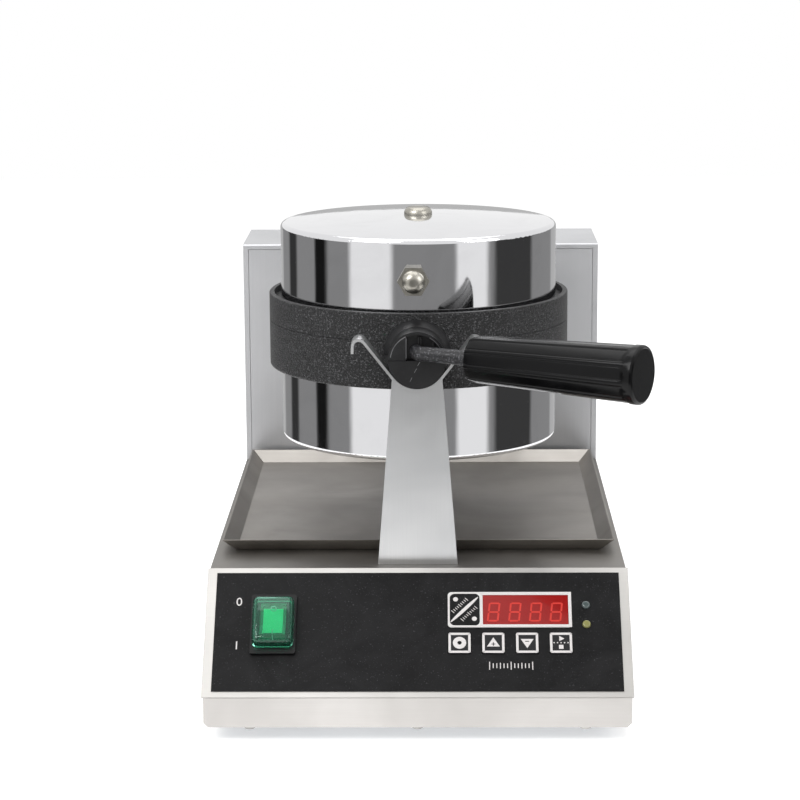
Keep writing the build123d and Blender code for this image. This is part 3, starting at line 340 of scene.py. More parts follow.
# coated and moulded pieces: name, tone, roughness, size and height of the grit
mouldedPlastic(
    "coatedCasting", (11, 11, 12), (0.36, 0.48), 820.0, 0.7,
    grainTone=(92, 92, 94), specular=0.3, depth=0.0009, rare=0.54,
)
mouldedPlastic(
    "smoothCasting", (20, 20, 21), (0.30, 0.42), 1500.0, 0.20, grainTone=(74, 74, 76), specular=0.40, rare=0.62
)
mouldedPlastic(
    "blackRod", (18, 18, 20), (0.3, 0.42), 700.0, 0.4, grainTone=(104, 104, 108), specular=0.3, depth=0.0004, rare=0.55
)
mouldedPlastic("blackGrip", (5, 5, 6), (0.16, 0.26), 260.0, 0.03, grainTone=(9, 9, 10), specular=0.18)
mouldedPlastic("blackFascia", (5, 5, 6), (0.44, 0.58), 900.0, 0.10, grainTone=(78, 78, 80), specular=0.14, rare=0.63)
mouldedPlastic("blackPlastic", (14, 14, 15), (0.32, 0.46), 1500.0, 0.12, specular=0.25)
mouldedPlastic("keyPlastic", (22, 22, 24), (0.4, 0.55), 1500.0, 0.08, specular=0.25)
mouldedPlastic("rubber", (34, 34, 35), (0.6, 0.8), 900.0, 0.2)
mouldedPlastic("palePlastic", (214, 210, 200), (0.4, 0.55), 1200.0, 0.08)
mouldedPlastic("paleFrame", (208, 208, 206), (0.4, 0.5), 1600.0, 0.05)
mouldedPlastic("whitePrint", (205, 201, 200), (0.45, 0.6), 1600.0, 0.04)
mouldedPlastic("board", (30, 92, 58), (0.3, 0.5), 500.0, 0.05)
mouldedPlastic("mineralWool", (212, 206, 190), (0.8, 0.95), 260.0, 0.9)
mouldedPlastic("innerPlastic", (196, 60, 50), (0.4, 0.6), 1200.0, 0.05)

# the display, the lamps and the switch
mouldedPlastic("redWindow", (140, 20, 18), (0.12, 0.2), 1500.0, 0.02, grainTone=(156, 28, 24), coat=0.2, specular=0.3)
mouldedPlastic("litSegment", (196, 54, 46), (0.25, 0.35), 1500.0, 0.02, specular=0.3)
mouldedPlastic("clearLamp", (74, 84, 84), (0.12, 0.2), 1500.0, 0.02, coat=0.4)
mouldedPlastic("yellowLamp", (128, 126, 74), (0.12, 0.2), 1500.0, 0.02, coat=0.4)
mouldedPlastic("greenRocker", (34, 118, 92), (0.18, 0.28), 1200.0, 0.03, coat=0.3)
mouldedPlastic("greenInlay", (112, 250, 194), (0.25, 0.35), 900.0, 0.03, coat=0.2)
clearSilicone("greenBoot", (128, 220, 188), (106, 206, 172), rough=(0.015, 0.04), through=0.97)

dressing = {
    "satinSheet": ("base_shell", "front_sheet", "stop_block"),
    "columnSheet": ("column_shell", "column_front", "back_cover"),
    "armSheet": ("front_arm", "saddle_strip"),
    "traySheet": ("drip_tray",),
    "zincSheet": ("bottom_plate", "cup_bracket"),
    "steelScrew": ("machine_screws",),
    "turnedSteel": ("mould_shaft", "hinge_pin", "bearing_housing", "bearing_flange", "shaft_collar"),
    "bronze": ("bearing_bushes",),
    "heaterSteel": ("lower_heater", "upper_heater"),
    "iron": ("transformer",),
    "nickel": ("upper_cup_screw", "lower_cup_screw", "acorn_nut"),
    "polishedCup": ("upper_cup", "lower_cup"),
    "coatedCasting": ("lower_plate", "upper_plate", "lower_grid", "upper_grid", "lower_hinge", "upper_hinge"),
    "smoothCasting": ("lower_trunnion", "upper_trunnion"),
    "blackRod": ("handle_rod",),
    "blackGrip": ("handle_grip",),
    "blackFascia": ("control_fascia",),
    "blackPlastic": ("switch_bezel", "switch_body", "cable_gland", "timer_case", "key_switches", "relay"),
    "keyPlastic": ("set_key", "up_key", "down_key", "start_key"),
    "rubber": ("rubber_feet",),
    "palePlastic": ("terminal_block",),
    "paleFrame": ("display_frame",),
    "board": ("timer_board",),
    "mineralWool": ("lower_insulation", "upper_insulation"),
    "innerPlastic": ("digit_modules",),
    "redWindow": ("display_window",),
    "clearLamp": ("upper_lamp",),
    "yellowLamp": ("lower_lamp",),
    "greenRocker": ("switch_rocker",),
    "greenBoot": ("switch_boot",),
}
for finishName, members in dressing.items():
    for member in members:
        for slot in nodes[member].material_slots:
            slot.material = finishes[finishName]
print("finishes given to the nodes")


# the helpers that the pieces made here share


def clearSelection():
    if bpy.context.object and bpy.context.object.mode != "OBJECT":
        bpy.ops.object.mode_set(mode="OBJECT")
    bpy.ops.object.select_all(action="DESELECT")


def chooseOnly(piece):
    clearSelection()
    bpy.context.view_layer.objects.active = piece
    piece.select_set(True)


def takePiece(finish):
    # the object just added, with its finish
    piece = bpy.context.object
    piece.data.materials.clear()
    piece.data.materials.append(finishes[finish])
    return piece


def applyModifier(piece, kind, **values):
    modifier = piece.modifiers.new(kind.lower(), kind)
    for title, value in values.items():
        setattr(modifier, title, value)
    chooseOnly(piece)
    bpy.ops.object.modifier_apply(modifier=modifier.name)
    piece.select_set(False)


def addBevel(piece, width, segments, angle=40):
    limit = math.radians(angle)
    applyModifier(piece, "BEVEL", width=width, segments=segments, limit_method="ANGLE", angle_limit=limit)


def joinPieces(pieces):
    clearSelection()
    for piece in pieces:
        piece.select_set(True)
    bpy.context.view_layer.objects.active = pieces[0]
    bpy.ops.object.join()
    joined = bpy.context.object
    joined.select_set(False)
    return joined


def copyPiece(piece, matrix):
    copy = piece.copy()
    copy.data = piece.data.copy()
    bpy.context.scene.collection.objects.link(copy)
    copy.data.transform(matrix)
    return copy


def dropPieces(pieces):
    for piece in pieces:
        bpy.data.objects.remove(piece)


def selectFaces(piece, test):
    # in edit mode: select the faces whose middle and normal pass the test
    bpy.ops.mesh.select_mode(type="FACE")
    bpy.ops.mesh.select_all(action="DESELECT")
    bpy.ops.object.mode_set(mode="OBJECT")
    for face in piece.data.polygons:
        face.select = bool(test(face.center, face.normal))
    bpy.ops.object.mode_set(mode="EDIT")


def keepRim(piece, line):
    # leaves only a rim of a flat face, one line wide
    bpy.context.view_layer.objects.active = piece
    bpy.ops.object.mode_set(mode="EDIT")
    bpy.ops.mesh.select_mode(type="FACE")
    bpy.ops.mesh.select_all(action="SELECT")
    bpy.ops.mesh.inset(thickness=line, depth=0)
    bpy.ops.mesh.delete(type="FACE")
    bpy.ops.object.mode_set(mode="OBJECT")


def cutAway(piece, cuts):
    # each cut is a plane's normal and a point on it; what lies on the normal's side goes
    bpy.context.view_layer.objects.active = piece
    bpy.ops.object.mode_set(mode="EDIT")
    for normal, point in cuts:
        bpy.ops.mesh.select_all(action="SELECT")
        bpy.ops.mesh.bisect(plane_co=point, plane_no=normal, use_fill=True, clear_outer=True)
    bpy.ops.object.mode_set(mode="OBJECT")


def finishPiece(piece, name, body, matrix=None, angle=30):
    # puts the place into the mesh, leaves the object at the origin, and says what the piece is
    chooseOnly(piece)
    bpy.ops.object.transform_apply(location=True, rotation=True, scale=True)
    if matrix is not None:
        piece.data.transform(matrix)
    bpy.ops.object.shade_smooth_by_angle(angle=math.radians(angle))
    piece.select_set(False)
    piece.name = name
    piece.data.name = name
    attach(piece, body)


# the grip: lengths in metres, angles in degrees
grip = {
    "flats": 9, "perFlat": 20, "start": 0.0425, "length": 0.1215, "rim": 0.006,
    "startRadius": 0.0159, "endRadius": 0.0193, "startDrawn": 0.0008, "flatness": 0.75,
    "groove": 0.0005, "grooveFrom": 6.0, "grooveNear": 0.5, "ease": 0.004, "round": 0.0018,
    "endInset": 0.0004, "endSunk": 0.0003, "turn": 28.5, "rise": 0.0053, "ahead": 0.002,
}


def gripStations():
    # height along the grip, share of the flattening, share of the grooves, and how far the edge is drawn in
    end, rim, ease = grip["length"], grip["length"] - grip["rim"], grip["ease"]
    return (
        (0.0, 1.0, 0.0, grip["startDrawn"]), (ease, 1.0, 1.0, 0.0), (rim - ease, 1.0, 1.0, 0.0),
        (rim - ease / 4, 0.6, 0.0, 0.0), (rim, 0.0, 0.0, 0.0), (end - grip["round"], 0.0, 0.0, 0.0),
        (end - grip["round"] / 3, 0.0, 0.0, grip["round"] / 3), (end, 0.0, 0.0, grip["round"]),
    )


def shapeFlats(body):
    # pulls the round body in to slightly curved flats with a pair of thin grooves at each corner
    half = 180 / grip["flats"]
    for vertex in body.data.vertices:
        flat, cut, drawnIn = min(gripStations(), key=lambda station: abs(station[0] - vertex.co.z))[1:]
        angle = math.degrees(math.atan2(vertex.co.y, vertex.co.x))
        off = (angle + half) % (2 * half) - half
        drawn = math.cos(math.radians(half)) / math.cos(math.radians(off))
        radius = grip["startRadius"] + (grip["endRadius"] - grip["startRadius"]) * vertex.co.z / grip["length"]
        radius *= 1 - grip["flatness"] * flat * (1 - drawn)
        radius -= drawnIn
        if abs(half - abs(off) - grip["grooveFrom"]) < grip["grooveNear"]:
            radius -= grip["groove"] * cut
        turned = math.radians(angle)
        vertex.co.x, vertex.co.y = radius * math.cos(turned), radius * math.sin(turned)


def makeGrip():
    turn = math.radians(grip["turn"])
    along = Vector((math.cos(turn), -math.sin(turn), 0))
    elbow = Vector((midX, discY - grip["ahead"], axisZ + grip["rise"]))
    clearSelection()
    bpy.ops.mesh.primitive_cylinder_add(
        vertices=grip["flats"] * grip["perFlat"], radius=grip["endRadius"], depth=grip["length"],
        location=(0, 0, grip["length"] / 2),
    )
    piece = takePiece("blackGrip")
    bpy.ops.object.transform_apply(location=True, rotation=False, scale=False)
    bpy.ops.object.mode_set(mode="EDIT")
    for station in gripStations()[1:-1]:
        bpy.ops.mesh.select_all(action="SELECT")
        bpy.ops.mesh.bisect(plane_co=(0, 0, station[0]), plane_no=(0, 0, 1))
    bpy.ops.object.mode_set(mode="OBJECT")
    shapeFlats(piece)
    bpy.ops.object.mode_set(mode="EDIT")
    nearlyUp = 0.98
    selectFaces(piece, lambda middle, normal: normal.z > nearlyUp)
    bpy.ops.mesh.inset(thickness=grip["endInset"], depth=-grip["endSunk"])
    bpy.ops.object.mode_set(mode="OBJECT")
    up = Vector((0, 0, 1))
    place = axesPlace(up, along.cross(up), along, elbow + along * grip["start"])
    finishPiece(piece, "handleGripMoulded", "lid", place, 26)
    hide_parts("handle_grip")


makeGrip()
print("grip made")


# the marks printed on the panel: thick is for the pale ones, thin for the dark ones
prints = {"thick": 0.00014, "thin": 0.0001, "rise": 0.00002}


def flatPlate(width, height, finish, corner=0.0, line=0.0, roundLeft=False, thick=prints["thick"]):
    # a thin printed shape: a plate, or only its outline where a line width is given
    clearSelection()
    bpy.ops.mesh.primitive_plane_add(size=1, location=(0, 0, 0))
    piece = takePiece(finish)
    bpy.ops.object.mode_set(mode="EDIT")
    bpy.ops.transform.resize(value=(width, height, 1), center_override=(0, 0, 0))
    if corner:
        bpy.ops.mesh.select_mode(type="VERT")
        bpy.ops.mesh.select_all(action="DESELECT")
        bpy.ops.object.mode_set(mode="OBJECT")
        for vertex in piece.data.vertices:
            vertex.select = vertex.co.x < 0 or not roundLeft
        bpy.ops.object.mode_set(mode="EDIT")
        bpy.ops.mesh.bevel(offset=corner, segments=6, affect="VERTICES")
    bpy.ops.object.mode_set(mode="OBJECT")
    if line:
        keepRim(piece, line)
    applyModifier(piece, "SOLIDIFY", thickness=thick, offset=1)
    return piece


def discFace(radius, finish, line=0.0, sides=40):
    # a flat disc, or only its rim where a line width is given
    clearSelection()
    bpy.ops.mesh.primitive_circle_add(vertices=sides, radius=radius, fill_type="NGON", location=(0, 0, 0))
    piece = takePiece(finish)
    if line:
        keepRim(piece, line)
    return piece


def discPlate(radius, finish, line=0.0, thick=prints["thick"], sides=40):
    piece = discFace(radius, finish, line, sides)
    applyModifier(piece, "SOLIDIFY", thickness=thick, offset=1)
    return piece


display = {
    "x": 0.0612, "down": 0.0330, "width": 0.0822, "height": 0.0267, "corner": 0.0046, "line": 0.0013, "rise": 0.0007,
    "barX": 0.0426, "barWidth": 0.0014, "barHeight": 0.0250,
}
# a dark tile with a slanting pale leaf, two dots, and a row of ticks on each side of the leaf
tile = {
    "x": 0.0311, "width": 0.0204, "height": 0.0243, "corner": 0.0034, "slant": 46,
    "leafRadius": 0.0133, "leafShare": 0.085, "dotRadius": 0.00165, "dots": ((-0.0058, 0.0078), (0.0066, -0.0070)),
    "tickRows": ((-0.0031, 0.0031), (0.0031, -0.0031)), "ticks": 9, "tickPitch": 0.00165, "longEvery": 4,
    "tickWidth": 0.00042, "tickHeight": 0.0019, "longTick": 1.45,
}


def makeTile():
    plate = flatPlate(tile["width"], tile["height"], "blackFascia", tile["corner"], thick=prints["thin"])
    place = panelPlace(tile["x"], display["down"], display["rise"])
    finishPiece(plate, "displayTile", "base", place)


def makeFrameAndTile():
    # the pale outline round the display, and the leaf, dots and ticks of the tile beside it
    tileX = tile["x"] - display["x"]
    outline = flatPlate(display["width"], display["height"], "whitePrint", display["corner"], display["line"], True)
    bar = flatPlate(display["barWidth"], display["barHeight"], "whitePrint")
    bar.data.transform(shift(display["barX"] - display["x"]))
    leaf = discPlate(tile["leafRadius"], "whitePrint")
    leaf.data.transform(Matrix.Diagonal((1, tile["leafShare"], 1, 1)))
    leaf.data.transform(shift(tileX, turn=tile["slant"]))
    dots = []
    for x, up in tile["dots"]:
        dot = discPlate(tile["dotRadius"], "whitePrint")
        dot.data.transform(shift(tileX + x, up))
        dots.append(dot)
    tick = flatPlate(tile["tickWidth"], tile["tickHeight"], "whitePrint")
    ticks = []
    for x, up in tile["tickRows"]:
        for step in range(tile["ticks"]):
            reach = 1.0 if step % tile["longEvery"] else tile["longTick"]
            along = (step - (tile["ticks"] - 1) / 2) * tile["tickPitch"]
            place = shift(tileX + x, up, turn=tile["slant"]) @ shift(along) @ Matrix.Diagonal((1, reach, 1, 1))
            ticks.append(copyPiece(tick, place))
    dropPieces([tick])
    piece = joinPieces([outline, bar, leaf] + dots + ticks)
    place = panelPlace(display["x"], display["down"], display["rise"] + prints["rise"])
    finishPiece(piece, "displayMarks", "base", place)


digits = {
    "places": (0.0506, 0.0647, 0.0785, 0.0921), "down": 0.0348, "width": 0.0078, "height": 0.0145,
    "line": 0.00125, "round": 0.42, "gap": 0.00022, "lean": 0.11, "thick": 0.00008, "rise": 0.0005,
}


def makeDigits():
    # unlit figure eights, all seven bars
    half, tall, line = digits["width"] / 2, digits["height"] / 2, digits["line"]

    def makeBar(length):
        width = length - 2 * digits["gap"]
        return flatPlate(width, line, "litSegment", line * digits["round"], thick=digits["thick"])

    bar = makeBar(digits["width"] - line)
    upright = makeBar(tall - line / 2)
    bars = [copyPiece(bar, shift(0, up)) for up in (-tall + line / 2, 0, tall - line / 2)]
    for x in (-half + line / 2, half - line / 2):
        for up in (-tall / 2, tall / 2):
            bars.append(copyPiece(upright, shift(x, up, turn=90)))
    dropPieces([bar, upright])
    eight = joinPieces(bars)
    lean = Matrix.Identity(4)
    lean[0][1] = digits["lean"]
    eight.data.transform(lean)
    first = digits["places"][0]
    copies = [copyPiece(eight, shift(x - first)) for x in digits["places"][1:]]
    piece = joinPieces([eight] + copies)
    place = panelPlace(first, digits["down"], digits["rise"] + prints["rise"])
    finishPiece(piece, "displayDigits", "base", place)


keys = {
    "down": 0.0582, "pitch": 0.0223, "middle": 0.0612, "width": 0.0146, "length": 0.0150, "corner": 0.0008,
    "line": 0.0016, "rise": 0.0009, "disc": 0.0044, "dot": 0.0014,
    "arrow": 0.0050, "arrowShape": (0.98, 0.90, 1, 1), "arrowDown": 0.0006,
    "signLength": 0.0026, "signLine": 0.00055, "signDown": 0.0010,
    "run": 0.0022, "halt": 0.0030, "haltCorner": 0.0003, "runUp": 0.0031,
    "spots": 5, "spot": 0.00045, "spotPitch": 0.0023,
}


def makeDotMark():
    disc = discPlate(keys["disc"], "whitePrint")
    dot = discPlate(keys["dot"], "blackFascia", thick=prints["thin"], sides=24)
    dot.data.transform(shift(z=prints["thin"]))
    return [disc, dot]


def makeArrowMark(isUp):
    # an arrow up with a dark plus, or an arrow down with a dark minus
    arrow = discPlate(keys["arrow"], "whitePrint", sides=3)
    arrow.data.transform(Matrix.Diagonal(keys["arrowShape"]) @ shift(0, -keys["arrowDown"]))
    mark = [arrow]
    bars = ((keys["signLength"], keys["signLine"]), (keys["signLine"], keys["signLength"]))
    for width, height in bars[:2 if isUp else 1]:
        bar = flatPlate(width, height, "blackFascia", thick=prints["thin"])
        bar.data.transform(shift(0, -keys["signDown"], prints["thin"]))
        mark.append(bar)
    if not isUp:
        for part in mark:
            part.data.transform(shift(turn=180))
    return mark


def makeRunMark():
    # a small arrow above, a square below, and a row of spots between them
    run = discPlate(keys["run"], "whitePrint", sides=3)
    run.data.transform(shift(0, keys["runUp"], turn=-90))
    halt = flatPlate(keys["halt"], keys["halt"], "whitePrint", keys["haltCorner"])
    halt.data.transform(shift(0, -keys["runUp"]))
    mark = [run, halt]
    for step in range(keys["spots"]):
        spot = discPlate(keys["spot"], "whitePrint", sides=16)
        spot.data.transform(shift((step - (keys["spots"] - 1) / 2) * keys["spotPitch"]))
        mark.append(spot)
    return mark


def makeKeyMarks():
    kinds = (
        ("set", makeDotMark), ("up", lambda: makeArrowMark(True)), ("down", lambda: makeArrowMark(False)),
        ("start", makeRunMark),
    )
    for index, (key, makeMark) in enumerate(kinds):
        x = keys["middle"] + (index - (len(kinds) - 1) / 2) * keys["pitch"]
        outline = flatPlate(keys["width"], keys["length"], "whitePrint", keys["corner"], keys["line"])
        piece = joinPieces([outline] + makeMark())
        place = panelPlace(x, keys["down"], keys["rise"] + prints["rise"])
        finishPiece(piece, key + "KeyMarks", key + "_key", place)


scale = {
    "x": 0.0615, "down": 0.0748, "ticks": 13, "pitch": 0.00235, "width": 0.0006, "height": 0.0034,
    "longEvery": 6, "longTick": 1.7, "middleEvery": 3, "middleTick": 1.25,
}


def makeScale():
    # a plain tick scale under the keys, longest at its ends and its middle
    tick = flatPlate(scale["width"], scale["height"], "whitePrint")
    marks = []
    for step in range(scale["ticks"]):
        reach = 1.0 if step % scale["middleEvery"] else scale["middleTick"]
        if step % scale["longEvery"] == 0:
            reach = scale["longTick"]
        along = (step - (scale["ticks"] - 1) / 2) * scale["pitch"]
        marks.append(copyPiece(tick, shift(along) @ Matrix.Diagonal((1, reach, 1, 1))))
    dropPieces([tick])
    place = panelPlace(scale["x"], scale["down"], prints["rise"])
    finishPiece(joinPieces(marks), "timeScale", "base", place)


numbers = {"size": 0.0086, "thick": 0.00006, "rise": 0.00008}


def makeNumber(body, x, down, name):
    clearSelection()
    bpy.ops.object.text_add(location=(0, 0, 0))
    word = bpy.context.object
    word.data.body = body
    word.data.size = numbers["size"]
    word.data.extrude = numbers["thick"]
    word.data.align_x = "CENTER"
    word.data.align_y = "CENTER"
    bpy.ops.object.convert(target="MESH")
    finishPiece(takePiece("whitePrint"), name, "base", panelPlace(x, down, numbers["rise"]))


makeTile()
makeFrameAndTile()
makeDigits()
makeKeyMarks()
makeScale()
makeNumber("0", -0.1190, 0.0268, "offNumber")
makeNumber("1", -0.1195, 0.0598, "onNumber")
print("panel marks made")


def softenNode(node, name, width, finish, body, angle, segments):
    # a copy of a sheet piece with its folded edges rounded over
    clearSelection()
    copy = nodes[node].copy()
    copy.data = nodes[node].data.copy()
    copy.parent = None
    for title in list(copy.keys()):
        del copy[title]
    bpy.context.scene.collection.objects.link(copy)
    copy.matrix_world = Matrix.Identity(4)
    chooseOnly(copy)
    bpy.ops.object.mode_set(mode="EDIT")
    bpy.ops.mesh.select_all(action="SELECT")
    bpy.ops.mesh.remove_doubles(threshold=0.00001)
    bpy.ops.mesh.dissolve_limited(angle_limit=math.radians(1))
    bpy.ops.object.mode_set(mode="OBJECT")
    takePiece(finish)
    addBevel(copy, width, segments, angle)
    finishPiece(copy, name, body, None, 40)
    applyModifier(copy, "WEIGHTED_NORMAL", keep_sharp=True, weight=80)
    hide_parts(node)


# node, name, width of the rounding, finish, body, angle from which a fold is rounded, segments
softenNode("front_arm", "armFolded", 0.0007, "armSheet", "base", 30, 3)
softenNode("base_shell", "shellFolded", 0.0006, "satinSheet", "base", 25, 3)
softenNode("front_sheet", "frontSheetFolded", 0.0003, "frontSheet", "base", 30, 2)
softenNode("column_shell", "columnFolded", 0.0006, "columnSheet", "base", 30, 3)
softenNode("drip_tray", "trayFolded", 0.0005, "traySheet", "tray", 20, 2)
print("folded sheets rounded")


# each rib: place across, height of its top, width
sector = {
    "edge": -0.0068, "foot": 0.0005, "radius": 0.0168, "front": 0.0004, "depth": 0.006, "round": 0.0005,
    "ribs": ((0.0012, 0.0158, 0.0009), (0.0026, 0.0155, 0.0007), (0.0108, 0.0118, 0.0011)),
    "ribFoot": 0.0045, "ribSunk": 0.0024, "ribRound": 0.0002,
}


def makeSector():
    # raised sector and thin ribs inside the recess of the upper half of the trunnion
    foot, sunk, depth = sector["ribFoot"], sector["ribSunk"], sector["depth"]
    clearSelection()
    bpy.ops.mesh.primitive_cylinder_add(vertices=96, radius=sector["radius"], depth=depth, location=(0, 0, 0))
    plate = takePiece("smoothCasting")
    cutAway(plate, (((1, 0, 0), (sector["edge"], 0, 0)), ((0, -1, 0), (0, sector["foot"], 0))))
    addBevel(plate, sector["round"], 3)
    ribs = []
    for x, top, wide in sector["ribs"]:
        clearSelection()
        bpy.ops.mesh.primitive_cube_add(size=1, location=(x, (top + foot) / 2, -sunk / 2))
        rib = takePiece("smoothCasting")
        rib.scale = (wide, top - foot, depth - sunk)
        bpy.ops.object.transform_apply(location=True, rotation=False, scale=True)
        addBevel(rib, sector["ribRound"], 2)
        ribs.append(rib)
    place = trunnionPlace(sector["front"] + depth / 2)
    finishPiece(joinPieces([plate] + ribs), "trunnionSector", "lid", place, 35)


# painted highlights as bright lines along the trunnion's rim and the sector's edge, and scratches where the coating has
# worn off; each scratch: x, up, turn, length
edgeShineAndWear = {
    "lift": 0.00002, "thick": 0.00012, "arcWidth": 0.0005, "leftRadius": 0.0180, "rightRadius": 0.0178,
    "leftEdge": 0.0006, "leftFoot": 0.0022, "rightEdge": 0.0085, "rightFoot": 0.0058,
    "lineWidth": 0.0004, "lineTop": 0.0150, "lineFoot": 0.001,
    "scratchWidth": 0.00022, "scratchThick": 0.00006,
    "scratches": ((0.0012, -0.0022, -32, 0.0030), (-0.0010, -0.0068, -30, 0.0034), (-0.0040, -0.0128, -26, 0.0030)),
}


def cutRing(radius, side, edge, foot):
    # the part of a thin ring that lies beyond the edge, on the given side, and above the foot
    ring = discPlate(radius, "paintedShineAndWear", edgeShineAndWear["arcWidth"], edgeShineAndWear["thick"], 120)
    cutAway(ring, (((-side, 0, 0), (edge, 0, 0)), ((0, -1, 0), (0, foot, 0))))
    return ring


def makeEdgeShineAndScratches():
    # the two rim arcs and the upright line along the sector are painted highlights; the scratches are wear
    left = cutRing(edgeShineAndWear["leftRadius"], -1, sector["edge"] - edgeShineAndWear["leftEdge"], edgeShineAndWear["leftFoot"])
    lineFoot = sector["foot"] + edgeShineAndWear["lineFoot"]
    height = edgeShineAndWear["lineTop"] - lineFoot
    upright = flatPlate(edgeShineAndWear["lineWidth"], height, "paintedShineAndWear", thick=edgeShineAndWear["thick"])
    upright.data.transform(shift(sector["edge"] - edgeShineAndWear["lineWidth"], lineFoot + height / 2))
    place = trunnionPlace(sector["front"] - edgeShineAndWear["lift"])
    finishPiece(upright, "trunnionSectorShine", "lid", place)
    right = cutRing(edgeShineAndWear["rightRadius"], 1, edgeShineAndWear["rightEdge"], edgeShineAndWear["rightFoot"])
    place = trunnionPlace(-edgeShineAndWear["lift"])
    finishPiece(joinPieces([left, right]), "trunnionRimShine", "lid", place)
    marks = []
    for x, up, turn, length in edgeShineAndWear["scratches"]:
        mark = flatPlate(edgeShineAndWear["scratchWidth"], length, "paintedShineAndWear", thick=edgeShineAndWear["scratchThick"])
        mark.data.transform(shift(x, up, turn=turn))
        marks.append(mark)
    finishPiece(joinPieces(marks), "trunnionScratches", "mould", place)


makeSector()
makeEdgeShineAndScratches()
print("trunnion detail made")


switch = {
    "x": -0.0956, "down": 0.0445, "foot": 0.0024, "width": 0.0274, "length": 0.0355, "height": 0.0086,
    "wall": 0.0012, "corner": 0.0040, "inlayWidth": 0.013, "inlayLength": 0.0205, "inlayLift": 0.00008,
    "ring": 0.0021, "ringUp": 0.0103, "bar": 0.0056, "barUp": -0.0095, "line": 0.0007, "markLift": 0.00020,
}


def makeBoot():
    # the clear boot with soft corners, open below
    clearSelection()
    bpy.ops.mesh.primitive_cube_add(size=1, location=(0, 0, 0))
    boot = takePiece("greenBoot")
    bpy.ops.object.mode_set(mode="EDIT")
    bpy.ops.transform.resize(value=(switch["width"], switch["length"], switch["height"]), center_override=(0, 0, 0))
    bpy.ops.transform.translate(value=(0, 0, switch["height"] / 2))
    nearlyDown = -0.9
    selectFaces(boot, lambda middle, normal: normal.z < nearlyDown)
    bpy.ops.mesh.delete(type="FACE")
    bpy.ops.object.mode_set(mode="OBJECT")
    addBevel(boot, switch["corner"], 6)
    applyModifier(boot, "SOLIDIFY", thickness=switch["wall"], offset=-1)
    place = panelPlace(switch["x"], switch["down"], switch["foot"])
    finishPiece(boot, "switchBootMoulded", "base", place, 50)
    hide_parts("switch_boot")


def layOnRocker(piece, lift):
    # drops each vertex along the panel's normal onto the rocker, and a little above it
    mesh = nodes["switch_rocker"].data
    surface = BVHTree.FromPolygons([v.co for v in mesh.vertices], [tuple(f.vertices) for f in mesh.polygons])
    wellAbove = 0.03
    for vertex in piece.data.vertices:
        hit = surface.ray_cast(vertex.co + panelOut * wellAbove, -panelOut)[0]
        if hit:
            vertex.co = hit + panelOut * lift


def flatGrid(width, length, finish, across, along):
    # a flat strip fine enough to follow the rocker's curve
    clearSelection()
    bpy.ops.mesh.primitive_grid_add(x_subdivisions=across, y_subdivisions=along, size=1, location=(0, 0, 0))
    strip = takePiece(finish)
    strip.data.transform(Matrix.Diagonal((width, length, 1, 1)))
    return strip


def placeOnRocker(mark, name, up, lift):
    mark.data.transform(panelPlace(switch["x"], switch["down"] - up, 0))
    layOnRocker(mark, lift)
    finishPiece(mark, name, "rocker", None, 60)


def makeRockerMarks():
    inlay = flatGrid(switch["inlayWidth"], switch["inlayLength"], "greenInlay", 12, 24)
    placeOnRocker(inlay, "rockerInlay", 0.0, switch["inlayLift"])
    ring = discFace(switch["ring"], "whitePrint", switch["line"])
    placeOnRocker(ring, "rockerRing", switch["ringUp"], switch["markLift"])
    bar = flatGrid(switch["line"], switch["bar"], "whitePrint", 2, 12)
    placeOnRocker(bar, "rockerBar", switch["barUp"], switch["markLift"])


makeBoot()
makeRockerMarks()
print("switch made")


# the floor, what the metal mirrors, and the lamps

stage = {
    "floorSize": 6.0, "floorTone": (0.90, 0.90, 0.90, 1.0), "floorShade": 0.985, "lift": 0.45, "daylight": 0.55,
    "wallRadius": 0.7, "wallSides": 180, "wallHeight": 0.36, "wallSunk": 0.002,
}

# a plain grey room round the table, with white panels and dark flags; each band: from, to, level
room = {
    "level": 0.28, "soft": 2.0, "start": -90,
    "bands": ((-90, -76, 0.01), (-54, -20, 1.0), (30, 56, 1.0), (62, 102, 0.05), (138, 214, 0.50), (232, 246, 0.04)),
}

lamps = {
    "keyLight": {"place": (-1.1, -1.3, 1.6), "aim": (0, -0.05, 0.2), "side": 1.2, "power": 26},
    "fillLight": {"place": (1.4, -1.0, 1.1), "aim": (0, -0.05, 0.2), "side": 1.0, "power": 9},
    "topLight": {"place": (0.0, 0.2, 1.9), "aim": (0, 0, 0.2), "side": 1.6, "power": 14},
}


def addSeen(tree):
    # one where the ray comes from the camera, a mirror or a clear piece
    path = tree.nodes.new("ShaderNodeLightPath").outputs
    mirrored = addMath(tree, "MAXIMUM", path["Is Camera Ray"], path["Is Glossy Ray"])
    return addMath(tree, "MAXIMUM", mirrored, path["Is Transmission Ray"])


def makeFloor():
    # pale by its colour, and lifted to white only where it is seen, so that it keeps the shadow
    clearSelection()
    bpy.ops.mesh.primitive_plane_add(size=stage["floorSize"], location=(0, 0, 0))
    floor = bpy.context.object
    floor.name = "paleFloor"
    tree, shader, place = startFinish("paleFloor")
    patch = addGroup(tree, grainGroup, place, Stretch=(3, 3, 3), Cloud=2.0)["Patch"]
    pale = stage["floorTone"]
    shade = tuple(c * stage["floorShade"] for c in pale)
    feed(tree, addMix(tree, patch, pale, shade), shader.inputs["Base Color"])
    feed(tree, 0.9, shader.inputs["Roughness"])
    feed(tree, 0.1, shader.inputs["Specular IOR Level"])
    feed(tree, (1, 1, 1, 1), shader.inputs["Emission Color"])
    strength = addRange(tree, addSeen(tree), (0.0, 1.0), (0.0, stage["lift"]))
    feed(tree, strength, shader.inputs["Emission Strength"])
    floor.data.materials.append(finishes["paleFloor"])


def roomStops():
    # each band's two soft edges, as a share of the way round and a level
    stops = []
    for start, end, level in room["bands"]:
        stops += [(start - room["soft"], room["level"]), (start + room["soft"], level)]
        stops += [(end - room["soft"], level), (end + room["soft"], room["level"])]
    return [(min(1.0, max(0.0, (angle - room["start"]) / 360)), level) for angle, level in stops]


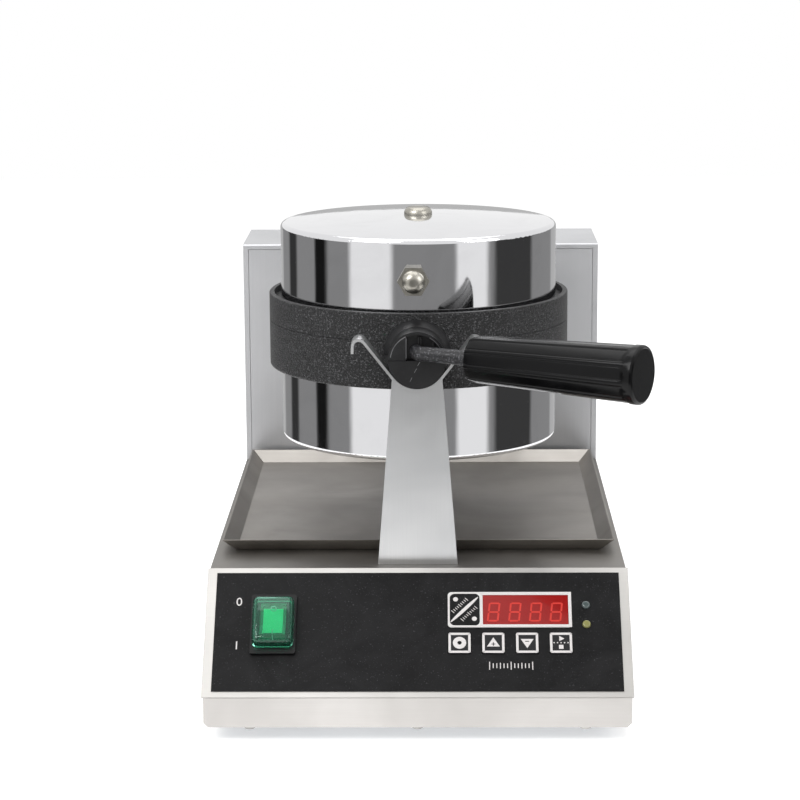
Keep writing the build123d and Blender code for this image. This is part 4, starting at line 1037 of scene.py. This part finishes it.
def makeSurroundings():
    # a glowing wall round the table that only mirrors see
    clearSelection()
    bpy.ops.mesh.primitive_cylinder_add(
        vertices=stage["wallSides"], radius=stage["wallRadius"], depth=stage["wallHeight"], end_fill_type="NOTHING",
        location=(midX, mouldY, stage["wallHeight"] / 2 - stage["wallSunk"]),
    )
    wall = bpy.context.object
    wall.name = "surroundings"
    finish = bpy.data.materials.new("surroundings")
    finish.use_nodes = True
    tree = finish.node_tree
    tree.nodes.clear()
    around = tree.nodes.new("ShaderNodeTexGradient")
    around.gradient_type = "RADIAL"
    feed(tree, tree.nodes.new("ShaderNodeTexCoord").outputs["Object"], around.inputs["Vector"])
    ramp = tree.nodes.new("ShaderNodeValToRGB")
    feed(tree, around.outputs["Fac"], ramp.inputs["Fac"])
    elements = ramp.color_ramp.elements
    while len(elements) > 1:
        elements.remove(elements[-1])
    for index, (position, level) in enumerate(roomStops()):
        stop = elements[0] if index == 0 else elements.new(position)
        stop.position = position
        stop.color = (level, level, level, 1.0)
    glow = tree.nodes.new("ShaderNodeEmission")
    feed(tree, ramp.outputs["Color"], glow.inputs["Color"])
    end = tree.nodes.new("ShaderNodeOutputMaterial")
    feed(tree, glow.outputs["Emission"], end.inputs["Surface"])
    wall.data.materials.append(finish)
    wall.visible_camera = False
    wall.visible_diffuse = False
    wall.visible_shadow = False
    wall.visible_transmission = False


def makeWorld():
    world = bpy.data.worlds.new("studio")
    bpy.context.scene.world = world
    world.use_nodes = True
    tree = world.node_tree
    sky = tree.nodes["Background"]
    feed(tree, (1, 1, 1, 1), sky.inputs["Color"])
    feed(tree, addRange(tree, addSeen(tree), (0.0, 1.0), (stage["daylight"], 1.0)), sky.inputs["Strength"])


def addLight(name):
    lamp = lamps[name]
    data = bpy.data.lights.new(name, "AREA")
    data.shape = "RECTANGLE"
    data.size = data.size_y = lamp["side"]
    data.energy = lamp["power"]
    light = bpy.data.objects.new(name, data)
    bpy.context.scene.collection.objects.link(light)
    light.location = lamp["place"]
    light.rotation_euler = (Vector(lamp["aim"]) - Vector(lamp["place"])).to_track_quat("-Z", "Y").to_euler()


makeFloor()
makeSurroundings()
makeWorld()
for lampName in lamps:
    addLight(lampName)
bpy.context.scene.view_settings.view_transform = "Standard"
print("stage and light set")
